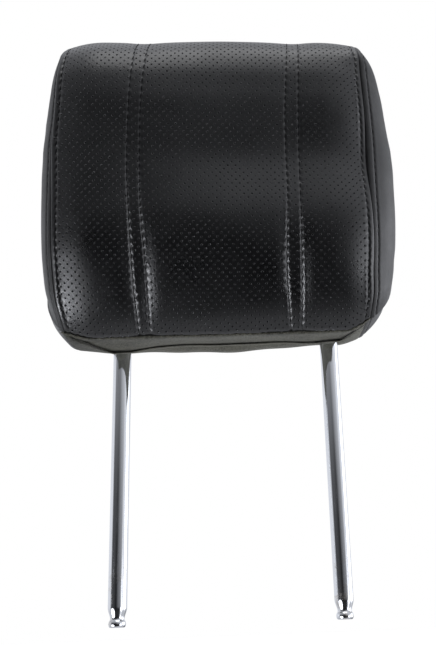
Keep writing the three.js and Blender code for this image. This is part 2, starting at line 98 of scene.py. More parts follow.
def hermite(xs, ys, q):
    xs, ys, q = np.asarray(xs, float), np.asarray(ys, float), np.asarray(q, float)
    m = np.gradient(ys, xs)
    i = np.clip(np.searchsorted(xs, q) - 1, 0, len(xs) - 2)
    h = xs[i + 1] - xs[i]
    t = np.clip((q - xs[i]) / h, 0, 1)
    return ((2 * t**3 - 3 * t**2 + 1) * ys[i] + (t**3 - 2 * t**2 + t) * h * m[i]
            + (3 * t**2 - 2 * t**3) * ys[i + 1] + (t**3 - t**2) * h * m[i + 1])


def gauss(d, w):
    return np.exp(-(d / w) ** 2)


_p = np.array(PROFILE, float)
_c = np.r_[0, np.cumsum(np.hypot(*np.diff(_p, axis=0).T))]
_t = np.linspace(0, _c[-1], 3001)
_k = np.hanning(61)
_k /= _k.sum()


def _sm(a):
    e = np.r_[2 * a[0] - a[30:0:-1], a, 2 * a[-1] - a[-2:-32:-1]]
    return np.convolve(e, _k, "valid")


_y, _z = _sm(hermite(_c, _p[:, 0], _t)), _sm(hermite(_c, _p[:, 1], _t))
_a = np.r_[0, np.cumsum(np.hypot(np.diff(_y), np.diff(_z)))]
ARC = float(_a[-1])
REAR = 0.6 * ARC                # where the face panels meet the rear panel, over the top
_dy, _dz = np.gradient(_y, _a), np.gradient(_z, _a)
_l = np.hypot(_dy, _dz)
_ny, _nz = _sm(-_dz / _l), _sm(_dy / _l)
_w = [w[0] for w in WIDTHS], [w[1] for w in WIDTHS]


def prof(s):
    s = np.clip(s, 0, ARC)
    return np.interp(s, _a, _y), np.interp(s, _a, _z), np.interp(s, _a, _ny), np.interp(s, _a, _nz)


def half_width(z):
    return hermite(*_w, z)


def table(rows, q):
    """A smooth curve through the rows that never overshoots them."""
    xs, ys = np.array([r[0] for r in rows], float), np.array([r[1] for r in rows], float)
    q, h = np.clip(np.asarray(q, float), xs[0], xs[-1]), np.diff(xs)
    k = np.diff(ys) / h
    m = np.r_[0, np.where(k[1:] * k[:-1] > 0, 2 * k[1:] * k[:-1] / np.where(k[1:] + k[:-1] == 0, 1, k[1:] + k[:-1]), 0), 0]
    i = np.clip(np.searchsorted(xs, q) - 1, 0, len(xs) - 2)
    t = (q - xs[i]) / h[i]
    return ((2 * t**3 - 3 * t**2 + 1) * ys[i] + (t**3 - 2 * t**2 + t) * h[i] * m[i]
            + (3 * t**2 - 2 * t**3) * ys[i + 1] + (t**3 - t**2) * h[i] * m[i + 1])


def half_at(s, side=0):
    z = prof(s)[1]
    h = half_width(z)
    if side:
        h = h + table(WIDER[side], z)
    return h


def spread(u, s):
    """x at width share u: the plain half width, and what that side adds near its edge."""
    z = prof(s)[1]
    grow = np.where(u < 0, table(WIDER[-1], z), table(WIDER[1], z))
    return u * (half_width(z) + grow * smooth((np.abs(u) - 0.35) / 0.65))


def over(u, start):
    return np.clip((np.abs(u) - start) / (1 - start), 0, None)


def band(u, s):
    """The pad's skin at width share u and s millimetres up the face, over the top and down the back."""
    y, z, ny, nz = prof(s)
    c = (1.0 * u * u + 5.0 * over(u, 0.72) ** 2) * np.minimum(smooth(s / 50), smooth((ARC - s) / 50))
    front, rear = np.where(u < 0, LIFT[-1][0], LIFT[1][0]), np.where(u < 0, LIFT[-1][1], LIFT[1][1])
    amount = np.where(s < ARC / 2, front, rear)
    lift = amount * np.where(u < 0, over(u, 0.80), over(u, 0.84)) ** 1.5 * np.clip(1 - z / 60, 0, None) ** 1.5
    c = c * (1 - np.where(u < 0, 0.2, 0.6) * smooth((z - 172) / 22) * smooth(np.abs(u) * 3))
    top = 1.0 * gauss(u * 100 + 48, 34) + 0.45 * gauss(u * 100 - 60, 30)      # the crown is a little lower over the strips
    return np.stack([spread(u, s), y - c * ny, z - c * nz + lift - top * smooth((z - 182) / 14)], -1)


def base(u, t):
    """The underside at width share u, from t = -1 at the front seam to t = 1 at the rear one."""
    f, r = band(u, np.zeros_like(u)), band(u, np.full_like(u, ARC))
    y = (f[..., 1] + r[..., 1]) / 2 + (r[..., 1] - f[..., 1]) / 2 * np.sign(t) * np.abs(t) ** 0.85
    z = f[..., 2] * (1 - t) / 2 + r[..., 2] * (1 + t) / 2 - (BASE_SAG[0] + BASE_SAG[1] * t) * (1 - np.abs(t) ** 1.7)
    x = f[..., 0] * (1 - t) / 2 + r[..., 0] * (1 + t) / 2
    open_ = np.sqrt(np.clip(1 - t * t, 0, 1))
    out, drop = np.where(u < 0, FULL[-1][0], FULL[1][0]), np.where(u < 0, FULL[-1][1], FULL[1][1])
    x = x + np.sign(u) * out * np.abs(u) ** 6 * open_
    z = z - drop * over(u, 0.55) ** 1.5 * open_
    return np.stack([x, y, z], -1)


def warp(p):
    p = np.array(p, float)
    x = p[..., 0]
    p[..., 2] = p[..., 2] * (1 - TAPER * x / 100)
    p[..., 0] = x + SHIFT
    return p


def to_row(p):
    c, s = math.cos(LEAN), math.sin(LEAN)
    return np.stack([p[..., 0], p[..., 1] * c - p[..., 2] * s, PAD_Z + p[..., 1] * s + p[..., 2] * c], -1)


def unit(v):
    return v / np.maximum(np.linalg.norm(v, axis=-1, keepdims=True), 1e-9)


# ---- the two double-stitched seams of the face, as (s, x)
LINES = {
    "left_outer": [(0, -48.9), (50, -51.3), (88, -52.5), (101, -53.0), (148, -51.4), (200, -47.3), (273, -46.5)],
    "left_inner": [(0, -41.6), (50, -42.8), (88, -44.9), (148, -43.7), (200, -39.3), (273, -38.5)],
    "right_inner": [(0, 48.5), (44, 46.7), (86, 48.4), (143, 48.7), (203, 52.2), (273, 53.0)],
    "right_outer": [(0, 55.4), (44, 56.1), (86, 56.6), (143, 57.3), (204, 59.5), (273, 60.0)],
}
EDGE_STITCH = 3.7               # how far the face's outer rows of stitches lie in from the side seams


def line(name, s):
    if name == "left_edge":
        return -half_at(s, -1) + EDGE_STITCH
    if name == "right_edge":
        return half_at(s, 1) - EDGE_STITCH
    p = LINES[name]
    return hermite([q[0] for q in p], [q[1] for q in p], s)


ALL_LINES = list(LINES) + ["left_edge", "right_edge"]

def share(x, s):
    """The width share at which spread() gives x."""
    h = half_at(s)
    u = x / h
    for _ in range(6):
        z = spread(u, s)
        u = u - (z - x) / h
    return u


def skin(x, s):
    """The face or the back at x across and s along."""
    return band(share(x, s), s)


def normal_of(fn, a, b, h=0.6):
    da = fn(a + h, b) - fn(a - h, b)
    db = fn(a, b + h) - fn(a, b - h)
    return unit(np.cross(da, db))


def turned(d, r=ROLL_R):
    """How far a turned edge has dropped at d from the seam."""
    e = np.clip(r - d, 0, r)
    return r - np.sqrt(np.maximum(r * r - e * e, 0))


def channel(d, s, depth=0.7, w=0.55):
    """A stitched row: a narrow valley with a needle hole between each two stitches, and the leather puckered round each hole."""
    k = np.cos(2 * np.pi * s / STITCH)
    pit = ((1 - k) / 2) ** 3
    return (-depth * gauss(d, w) * (0.52 + 0.75 * pit) + 0.12 * gauss(np.abs(d) - 1.5, 0.8)
            + (0.12 * k - 0.05) * min(1.0, depth / 0.75) * gauss(np.abs(d) - 0.95, 0.6))


def creases(x, s):
    """Slow unevenness of leather over foam."""
    a = np.sin(0.061 * x + 0.043 * s + 0.9) * np.sin(0.052 * s - 0.021 * x + 2.1)
    b = np.sin(0.11 * x - 0.083 * s + 4.0) * np.sin(0.037 * s + 0.095 * x + 1.2)
    return 0.17 * a + 0.06 * b


# The seat of each stitched strip: how deep the foam is drawn in along it, as (s, depth). Deepest low on the face.
DRAWN = {-1: [(0, 0.4), (15, 0.7), (35, 1.05), (60, 0.95), (85, 0.45), (115, 0.2), (150, 0.15), (273, 0.15)],
         1: [(0, 0.3), (15, 0.5), (35, 0.9), (60, 0.9), (85, 0.5), (115, 0.25), (150, 0.15), (273, 0.15)]}


SWELL_RIGHT = [(0, 0), (30, 0.9), (60, 2.0), (76, 1.6), (87, 0.75), (97, -0.45), (107, -1.7), (117, -2.3), (128, -1.8), (137, -1.1),
               (148, -0.6), (160, -0.8), (170, -1.2), (182, -1.2), (198, -0.6), (215, 0), (273, 0)]
SWELL_LEFT = [(0, 0), (65, 0.2), (87, 0.6), (97, 1.0), (107, 1.6), (117, 2.3), (128, 3.0), (137, 3.4), (148, 3.7), (160, 3.6), (170, 3.1),
              (185, 1.6), (203, 0), (273, 0)]


def eased(rows):
    """The table as a curve, run through a moving average so that its slope never jumps."""
    q = np.linspace(rows[0][0], rows[-1][0], 547)
    v = table(rows, q)
    k = np.hanning(39)
    v = np.convolve(np.r_[np.full(19, v[0]), v, np.full(19, v[-1])], k / k.sum(), "valid")
    return lambda s: np.interp(s, q, v)


swell_right, swell_left = eased(SWELL_RIGHT), eased(SWELL_LEFT)


def face_relief(x, s):
    h = creases(x, s)
    lx = {n: line(n, s) for n in ALL_LINES}
    # the three panels stand a little proud between their seams
    for a, b, c in (("left_edge", "left_outer", 0.8), ("left_inner", "right_inner", 0.8), ("right_outer", "right_edge", 0.8)):
        m, w = (lx[a] + lx[b]) / 2, (lx[b] - lx[a]) / 2
        h = h + c * np.clip(1 - ((x - m) / w) ** 2, 0, None)
    for side, a, b in ((-1, "left_outer", "left_inner"), (1, "right_inner", "right_outer")):
        m, w = (lx[a] + lx[b]) / 2, (lx[b] - lx[a]) / 2
        d = np.clip(np.abs(x - m) - w * 0.8, 0, None)
        h = h - table(DRAWN[side], s) * gauss(d, 5.2)
    # the dip under the top roll and the swell below it run over the right two thirds; the left third is flatter
    reach = smooth((x + 58) / 84)
    h = h + reach * swell_right(s) + (1 - reach) * swell_left(s) - 0.8 * gauss(s - 40, 22) * gauss(x - 5, 55)
    for n in ALL_LINES:
        edge = n.endswith("edge")
        quiet = 1 - 0.55 * smooth((s - 70) / 60)
        row = channel(x - lx[n], s + (1.7 if "inner" in n else 0), depth=0.55 if edge else 0.75)
        h = h + row * (1.0 if edge else quiet)
    half = np.where(x < 0, half_at(s, -1), half_at(s, 1))
    h = h - turned(half - np.abs(x)) - turned(s, 1.5) - turned(REAR - s)
    h = h - (0.8 + 0.45 * np.cos(2 * np.pi * x / 4.4)) * gauss(s, 1.5) * (1 - 0.3 * np.sin(0.31 * x))
    return h


def face_surface(x, s, depth=0.0):
    s = np.asarray(s, float)
    x = np.asarray(x, float)
    p, n = skin(x, s), normal_of(skin, x, s)
    return p + n * (face_relief(x, s) - depth)[..., None]


# ================================================================ mesh helper
def make(name, verts, faces, mats, mat_index=None, sharp=None, flat=False, pad=True):
    """verts in millimetres, in the pad frame (pad) or the row frame."""
    v = np.asarray(verts, float).reshape(-1, 3)
    if pad:
        v = to_row(warp(v))
    me = bpy.data.meshes.new(name)
    me.from_pydata((v / 1000).tolist(), [], [list(map(int, f)) for f in faces])
    for m in mats:
        me.materials.append(m)
    if mat_index is not None:
        me.polygons.foreach_set("material_index", np.asarray(mat_index, np.int32))
    me.polygons.foreach_set("use_smooth", np.full(len(me.polygons), not flat))
    me.update()
    me.validate()
    if sharp:
        me.set_sharp_from_angle(angle=math.radians(sharp))
    o = bpy.data.objects.new(name, me)
    bpy.context.scene.collection.objects.link(o)
    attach(o, "root")
    return o


def grid_faces(ni, nj, start=0, flip=False, wrap_j=False):
    i, j = np.meshgrid(np.arange(ni - 1), np.arange(nj if wrap_j else nj - 1), indexing="ij")
    j2 = (j + 1) % nj
    a, b, c, d = i * nj + j, (i + 1) * nj + j, (i + 1) * nj + j2, i * nj + j2
    q = np.stack([a, b, c, d], -1).reshape(-1, 4) + start
    return q[:, ::-1] if flip else q


# ================================================================ materials
def nodes_of(name):
    m = bpy.data.materials.new(name)
    m.use_nodes = True
    nt = m.node_tree
    return m, nt, nt.nodes["Principled BSDF"]


def node(nt, kind, **values):
    n = nt.nodes.new(kind)
    for k, v in values.items():
        if hasattr(n, k):
            setattr(n, k, v)
        else:
            n.inputs[k.replace("_", " ")].default_value = v
    return n


def ramp(nt, source, lo, hi, a, b):
    n = node(nt, "ShaderNodeMapRange")
    n.inputs[1].default_value, n.inputs[2].default_value = lo, hi
    n.inputs[3].default_value, n.inputs[4].default_value = a, b
    nt.links.new(source, n.inputs[0])
    return n.outputs[0]


def mix_colour(nt, factor, a, b):
    n = node(nt, "ShaderNodeMix", data_type="RGBA")
    n.inputs[6].default_value, n.inputs[7].default_value = (*a, 1), (*b, 1)
    nt.links.new(factor, n.inputs[0])
    return n.outputs[2]


def maths(nt, op, a, b):
    n = node(nt, "ShaderNodeMath", operation=op)
    for i, q in enumerate((a, b)):
        if isinstance(q, (int, float)):
            n.inputs[i].default_value = q
        else:
            nt.links.new(q, n.inputs[i])
    return n.outputs[0]


def leather(name, dark, light, rough, gloss, grain=1.05, bump=0.36):
    """Black corrected-grain leather: pebbles about a millimetre across, pores in them, slow patches of gloss."""
    m, nt, b = nodes_of(name)
    at = node(nt, "ShaderNodeTexCoord").outputs["Object"]
    pebbles = node(nt, "ShaderNodeTexVoronoi", feature="DISTANCE_TO_EDGE", Scale=1000 / grain, Randomness=0.95)
    fine = node(nt, "ShaderNodeTexNoise", Scale=2600.0, Detail=3.0, Roughness=0.6)
    slow = node(nt, "ShaderNodeTexNoise", Scale=38.0, Detail=4.0, Roughness=0.6)
    mid = node(nt, "ShaderNodeTexNoise", Scale=260.0, Detail=2.0, Roughness=0.5)
    for t in (pebbles, fine, slow, mid):
        nt.links.new(at, t.inputs["Vector"])
    height = ramp(nt, pebbles.outputs["Distance"], 0.0, 0.16, 0.0, 1.0)
    height = maths(nt, "ADD", height, maths(nt, "MULTIPLY", fine.outputs[0], 0.45))
    height = maths(nt, "ADD", height, maths(nt, "MULTIPLY", mid.outputs[0], 0.5))
    bm = node(nt, "ShaderNodeBump", Strength=bump, Distance=0.00008)
    nt.links.new(height, bm.inputs["Height"])
    nt.links.new(bm.outputs[0], b.inputs["Normal"])
    r = ramp(nt, slow.outputs[0], 0.35, 0.65, rough - 0.04, rough + 0.05)
    r = maths(nt, "SUBTRACT", r, maths(nt, "MULTIPLY", height, 0.03))
    nt.links.new(r, b.inputs["Roughness"])
    nt.links.new(mix_colour(nt, ramp(nt, mid.outputs[0], 0.3, 0.7, 0.0, 1.0), dark, light), b.inputs["Base Color"])
    b.inputs["Specular IOR Level"].default_value = gloss
    return m


FACE_LEATHER = leather("perforated_leather", (0.0038, 0.0039, 0.0047), (0.0056, 0.0057, 0.0066), 0.345, 0.95)
SIDE_LEATHER = leather("smooth_leather", (0.020, 0.0202, 0.0210), (0.028, 0.028, 0.0285), 0.46, 0.6, grain=0.9, bump=0.4)


def backing():
    m, nt, b = nodes_of("backing_foam")
    at = node(nt, "ShaderNodeTexCoord").outputs["Object"]
    n = node(nt, "ShaderNodeTexNoise", Scale=1500.0, Detail=2.0)
    nt.links.new(at, n.inputs["Vector"])
    nt.links.new(mix_colour(nt, n.outputs[0], (0.003, 0.003, 0.003), (0.009, 0.009, 0.009)), b.inputs["Base Color"])
    b.inputs["Roughness"].default_value = 0.95
    return m


BACKING = backing()


def cloth(name="base_cloth", dark=(0.052, 0.0512, 0.039), light=(0.215, 0.209, 0.164)):
    """The underside's close weave: two sets of threads 0.55 mm apart, with slubs and a slow mottle; painted light lifts
    the rear half and painted shade darkens the tucked-in corner.
    """
    m, nt, b = nodes_of(name)
    at = node(nt, "ShaderNodeTexCoord").outputs["Object"]
    warpw = node(nt, "ShaderNodeTexWave", wave_type="BANDS", bands_direction="X", Scale=290.0, Distortion=1.2)
    weft = node(nt, "ShaderNodeTexWave", wave_type="BANDS", bands_direction="Y", Scale=290.0, Distortion=1.2)
    slub = node(nt, "ShaderNodeTexNoise", Scale=620.0, Detail=2.0, Roughness=0.75)
    slow = node(nt, "ShaderNodeTexNoise", Scale=55.0, Detail=3.0)
    for t in (warpw, weft, slub, slow):
        nt.links.new(at, t.inputs["Vector"])
    place = node(nt, "ShaderNodeSeparateXYZ")
    nt.links.new(at, place.inputs[0])
    painted_light_rear = ramp(nt, place.outputs[1], -0.04, -0.01, 0.0, 0.09)         # painted light: the rear half is lighter, standing in for the light it catches from below
    for t in (warpw, weft):
        t.inputs["Detail Scale"].default_value = 3.0
    weave = maths(nt, "MULTIPLY", warpw.outputs["Fac"], weft.outputs["Fac"])
    height = maths(nt, "ADD", weave, maths(nt, "MULTIPLY", slub.outputs[0], 0.9))
    bm = node(nt, "ShaderNodeBump", Strength=0.8, Distance=0.0003)
    nt.links.new(height, bm.inputs["Height"])
    nt.links.new(bm.outputs[0], b.inputs["Normal"])
    tone = maths(nt, "ADD", maths(nt, "MULTIPLY", slub.outputs[0], 0.7), maths(nt, "MULTIPLY", slow.outputs[0], 0.3))
    tone = maths(nt, "ADD", tone, painted_light_rear)
    painted_shade_corner = maths(nt, "MULTIPLY", ramp(nt, place.outputs[0], -0.105, -0.078, 1.0, 0.0), ramp(nt, place.outputs[1], -0.030, -0.016, 0.0, 1.0))
    tone = maths(nt, "SUBTRACT", tone, maths(nt, "MULTIPLY", painted_shade_corner, 0.17))         # painted shade: darker where the tucked-in corner lies in shadow
    nt.links.new(mix_colour(nt, ramp(nt, tone, 0.38, 0.62, 0.0, 1.0), dark, light), b.inputs["Base Color"])
    b.inputs["Roughness"].default_value = 0.88
    b.inputs["Sheen Weight"].default_value = 0.25
    b.inputs["Sheen Roughness"].default_value = 0.5
    b.inputs["Specular IOR Level"].default_value = 0.3
    return m


CLOTH = cloth()
CLOTH_PAINTED_HIGHLIGHT = cloth("base_cloth_painted_highlight_edge", (0.17, 0.166, 0.137), (0.46, 0.448, 0.375))     # painted highlight: the fold of the hem is paler where it catches the light


def thread():
    m, nt, b = nodes_of("seam_thread")
    at = node(nt, "ShaderNodeTexCoord").outputs["Object"]
    twist = node(nt, "ShaderNodeTexWave", wave_type="BANDS", bands_direction="DIAGONAL", Scale=520.0, Distortion=0.6)
    nt.links.new(at, twist.inputs["Vector"])
    bm = node(nt, "ShaderNodeBump", Strength=0.5, Distance=0.00012)
    nt.links.new(twist.outputs["Fac"], bm.inputs["Height"])
    nt.links.new(bm.outputs[0], b.inputs["Normal"])
    nt.links.new(mix_colour(nt, twist.outputs["Fac"], (0.0018, 0.0018, 0.0022), (0.004, 0.004, 0.005)), b.inputs["Base Color"])
    b.inputs["Roughness"].default_value = 0.7
    b.inputs["Specular IOR Level"].default_value = 0.22
    return m


THREAD = thread()


def chrome():
    """Bright plate. Long hair scratches all over, and rubbed patches on the last 35 mm, where the posts slide in."""
    m, nt, b = nodes_of("chrome_plate")
    tc = node(nt, "ShaderNodeTexCoord").outputs["Object"]
    stretch = node(nt, "ShaderNodeMapping")
    stretch.inputs["Scale"].default_value = (620, 620, 24)
    nt.links.new(tc, stretch.inputs["Vector"])
    hair = node(nt, "ShaderNodeTexNoise", Scale=1.0, Detail=4.0, Roughness=0.7)
    nt.links.new(stretch.outputs[0], hair.inputs["Vector"])
    patch = node(nt, "ShaderNodeTexNoise", Scale=120.0, Detail=4.0, Roughness=0.65)
    nt.links.new(tc, patch.inputs["Vector"])
    xyz = node(nt, "ShaderNodeSeparateXYZ")
    nt.links.new(tc, xyz.inputs[0])
    low = ramp(nt, xyz.outputs[2], 0.012, 0.045, 1.0, 0.0)
    rub = maths(nt, "MULTIPLY", low, ramp(nt, patch.outputs[0], 0.52, 0.66, 0.0, 1.0))
    scratch = ramp(nt, hair.outputs[0], 0.52, 0.66, 0.0, 1.0)
    r = maths(nt, "ADD", maths(nt, "MULTIPLY", rub, 0.22), maths(nt, "MULTIPLY", scratch, 0.20))
    r = maths(nt, "ADD", r, 0.07)
    nt.links.new(r, b.inputs["Roughness"])
    bm = node(nt, "ShaderNodeBump", Strength=0.22, Distance=0.0001)
    nt.links.new(maths(nt, "ADD", hair.outputs[0], rub), bm.inputs["Height"])
    nt.links.new(bm.outputs[0], b.inputs["Normal"])
    nt.links.new(mix_colour(nt, rub, (0.76, 0.775, 0.80), (0.62, 0.60, 0.57)), b.inputs["Base Color"])
    b.inputs["Metallic"].default_value = 1.0
    return m


CHROME = chrome()


def moulded(name, dark, light, rough, metallic=0.0, scale=700.0):
    m, nt, b = nodes_of(name)
    at = node(nt, "ShaderNodeTexCoord").outputs["Object"]
    n = node(nt, "ShaderNodeTexNoise", Scale=scale, Detail=3.0)
    nt.links.new(at, n.inputs["Vector"])
    bm = node(nt, "ShaderNodeBump", Strength=0.3, Distance=0.0001)
    nt.links.new(n.outputs[0], bm.inputs["Height"])
    nt.links.new(bm.outputs[0], b.inputs["Normal"])
    nt.links.new(mix_colour(nt, n.outputs[0], dark, light), b.inputs["Base Color"])
    nt.links.new(ramp(nt, n.outputs[0], 0.3, 0.7, rough - 0.06, rough + 0.06), b.inputs["Roughness"])
    b.inputs["Metallic"].default_value = metallic
    return m


SHELL = moulded("core_plastic", (0.017, 0.018, 0.020), (0.026, 0.027, 0.030), 0.6)
HOOK = moulded("hook_plastic", (0.005, 0.005, 0.006), (0.009, 0.009, 0.010), 0.5)
ZINC = moulded("zinc_steel", (0.22, 0.21, 0.18), (0.34, 0.33, 0.29), 0.35, 1.0, 300.0)
FOAM = moulded("moulded_foam", (0.14, 0.13, 0.11), (0.24, 0.22, 0.18), 0.9, 0.0, 900.0)
for name, mat in (("core_front_shell", SHELL), ("core_rear_shell", SHELL), ("closure_hook_front", HOOK),
                  ("closure_hook_rear", HOOK), *((f"core_screw_{i}", ZINC) for i in (1, 2, 3, 4))):
    for part in [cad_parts[name]]:
        part.data.materials.clear()
        part.data.materials.append(mat)


# ================================================================ the perforated face
DIMPLE_R, HOLE_R, HOLE_IN, N_RIM = 0.84, 0.60, 0.45, 8


def panel_edges(which, s):
    return {"left": (-half_at(s, -1), line("left_outer", s)), "centre": (line("left_outer", s), line("right_outer", s)),
            "right": (line("right_outer", s), half_at(s, 1))}[which]


def cut_panel(which):
    """One face panel, cut and punched flat, then laid on the pad: (vertices, faces, material indices)."""
    rows = np.unique(np.r_[0, 0.15, 0.4, 0.75, 1.2, 1.9, np.arange(4, REAR - 3.5, 2.2), REAR - 2.2, REAR - 1.5, REAR - 1.0,
                           REAR - 0.55, REAR - 0.2, REAR])
    a, b = panel_edges(which, rows)
    n_across = int((b[0] - a[0]) / 2.4)
    outline = [(x, 0.0) for x in np.linspace(a[0], b[0], n_across)[:-1]]
    outline += list(zip(b[:-1], rows[:-1]))
    outline += [(x, REAR) for x in np.linspace(b[-1], a[-1], n_across)[:-1]]
    outline += list(zip(a[:0:-1], rows[:0:-1]))
    outline = np.array(outline)
    # holes
    j = np.arange(0, int(REAR / (PITCH / 2)) + 1)
    i = np.arange(-24, 25)
    J, I = np.meshgrid(j, i, indexing="ij")
    X = (I * PITCH + (J % 2) * PITCH / 2 + 0.9).ravel()
    S = (J * PITCH / 2 + 1.1).ravel()
    D = X + PITCH / 2                     # the lattice's other points, midway between two holes of a row
    lo, hi = panel_edges(which, S)

    def clear(x, gap_edge, gap_line, gap_end=2.2):
        ok = (x > lo + (gap_edge if which == "left" else 0.4)) & (x < hi - (gap_edge if which == "right" else 0.4))
        ok &= (S > gap_end) & (S < REAR - gap_end)
        for n in ALL_LINES:
            ok &= np.abs(x - line(n, S)) > gap_line
        return ok

    keep = clear(X, 2.1, 1.25)
    hx, hs = X[keep], S[keep]
    extra = clear(D, 2.2, 1.5)
    points = [np.stack([D[extra], S[extra]], -1)]
    # rows that carry the shape of the stitched channels and the turned edges
    along = np.arange(2.0, REAR - 2.0, STITCH / 6)
    for n in ALL_LINES:
        for off in (-1.15, -0.55, 0.0, 0.55, 1.15):
            x = line(n, along) + off
            l2, h2 = panel_edges(which, along)
            ok = (x > l2 + 0.25) & (x < h2 - 0.25)
            points.append(np.stack([x[ok], along[ok]], -1))
    for side, sign in (("left", 1), ("right", -1)):
        if which != side:
            continue
        for d in (0.12, 0.35, 0.7, 1.1, 1.55):
            e = -sign * half_at(along, -sign)
            points.append(np.stack([e + sign * d, along], -1))
    for d in (0.15, 0.4, 0.75, 1.2, 1.9):
        l0, h0 = panel_edges(which, np.array([d]))
        xs = np.arange(l0[0] + 1.0, h0[0] - 1.0, 2.0)
        points.append(np.stack([xs, np.full_like(xs, d)], -1))
        l0, h0 = panel_edges(which, np.array([REAR - d]))
        points.append(np.stack([xs[(xs > l0[0] + 0.5) & (xs < h0[0] - 0.5)], np.full(((xs > l0[0] + 0.5) & (xs < h0[0] - 0.5)).sum(), REAR - d)], -1))
    points = np.concatenate(points)
    # no loose point inside or close to a hole's rim
    cell = {}
    for k, (x, s) in enumerate(zip(hx, hs)):
        cell.setdefault((int(x // 3), int(s // 3)), []).append(k)

    def near(q, r):
        cx, cs = int(q[0] // 3), int(q[1] // 3)
        for dx in (-1, 0, 1):
            for ds in (-1, 0, 1):
                for k in cell.get((cx + dx, cs + ds), ()):
                    if (q[0] - hx[k]) ** 2 + (q[1] - hs[k]) ** 2 < r * r:
                        return True
        return False

    inside_x = lambda q, gap: (q[:, 0] > np.interp(q[:, 1], rows, a) + gap) & (q[:, 0] < np.interp(q[:, 1], rows, b) - gap)
    points = points[inside_x(points, 0.1)]
    points = np.array([q for q in points if not near(q, DIMPLE_R + 0.12)])
    ang = (np.arange(N_RIM) + 0.5) * 2 * np.pi / N_RIM
    circle = lambda r: np.stack([hx[:, None] + r * np.cos(ang), hs[:, None] + r * np.sin(ang)], -1).reshape(-1, 2)
    rim = circle(DIMPLE_R)
    n_out, n_h = len(outline), len(hx)
    flat = np.concatenate([outline, rim, points])
    edges = [(k, (k + 1) % n_out) for k in range(n_out)]
    for h in range(n_h):
        o = n_out + h * N_RIM
        edges += [(o + k, o + (k + 1) % N_RIM) for k in range(N_RIM)]
    cv, _, cf, cmap, _, _ = delaunay_2d_cdt([Vector((float(x), float(s))) for x, s in flat], edges, [], 1, 1e-5, True)
    cv = np.array([(q.x, q.y) for q in cv])
    new = {}
    for k, olds in enumerate(cmap):
        for o in olds:
            new[o] = k
    cf = np.array([f for f in cf])
    mid = cv[cf].mean(1)
    inside = np.array([near(m, DIMPLE_R * 0.9) for m in mid])
    cf = cf[~inside & inside_x(mid, 0.0)]
    # keep it wound so that it faces out: x across, s up, outward is x cross s
    t = cv[cf]
    area = (t[:, 1, 0] - t[:, 0, 0]) * (t[:, 2, 1] - t[:, 0, 1]) - (t[:, 2, 0] - t[:, 0, 0]) * (t[:, 1, 1] - t[:, 0, 1])
    cf[area < 0] = cf[area < 0][:, ::-1]
    cf = cf[np.abs(area) > 1e-7]
    top = face_surface(cv[:, 0], cv[:, 1])
    # a dimple, a rounded rim and a blind hole, with the backing foam showing at its bottom
    levels = [(HOLE_R, 0.07), (HOLE_IN, 0.34), (HOLE_IN * 0.96, 1.15)]
    rings = [face_surface(c[:, 0], c[:, 1], np.full(len(c), depth)) for c, depth in ((circle(r), q) for r, q in levels)]
    n0, per = len(cv), len(hx) * N_RIM
    faces, mats = [list(f) for f in cf], [0] * len(cf)
    for h in range(n_h):
        loops = [[new[n_out + h * N_RIM + k] for k in range(N_RIM)]]
        loops += [[n0 + g * per + h * N_RIM + k for k in range(N_RIM)] for g in range(len(levels))]
        for a, b in zip(loops, loops[1:]):
            faces += [(a[k], a[(k + 1) % N_RIM], b[(k + 1) % N_RIM], b[k]) for k in range(N_RIM)]
        faces.append(loops[-1])
        mats += [0] * (len(levels) * N_RIM) + [1]
    # the seam allowance, turned down behind the seams
    verts = np.concatenate([top, *rings])
    flat_n = normal_of(lambda x, s: face_surface(x, s), cv[:, 0], cv[:, 1], 0.3)
    ring_n = []
    for (r, _), lean_in in zip(levels, (0.75, 2.5, 6.0)):
        c = circle(r)
        n = normal_of(skin, c[:, 0], c[:, 1])
        away = np.tile(np.stack([np.cos(ang), np.sin(ang)], -1), (n_h, 1))
        east = unit(np.cross(normal_of(skin, c[:, 0], c[:, 1]) * 0 + [0, 0, 1.0], n))
        north = unit(np.cross(n, east))
        east = np.where((east[:, :1] < 0), -east, east)
        north = np.where((north[:, 2:] < 0), -north, north)
        ring_n.append(unit(n - lean_in * (away[:, :1] * east + away[:, 1:] * north)))
    shade = np.concatenate([flat_n, *ring_n])
    skirt = face_surface(outline[:, 0], outline[:, 1], np.full(n_out, 2.6))
    k0 = len(verts)
    verts = np.concatenate([verts, skirt])
    for k in range(n_out):
        l = (k + 1) % n_out
        faces.append((new[l], new[k], k0 + k, k0 + l))
        mats.append(0)
    return verts, faces, mats, shade


def cover(piece, node_name):
    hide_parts(node_name)
    return piece


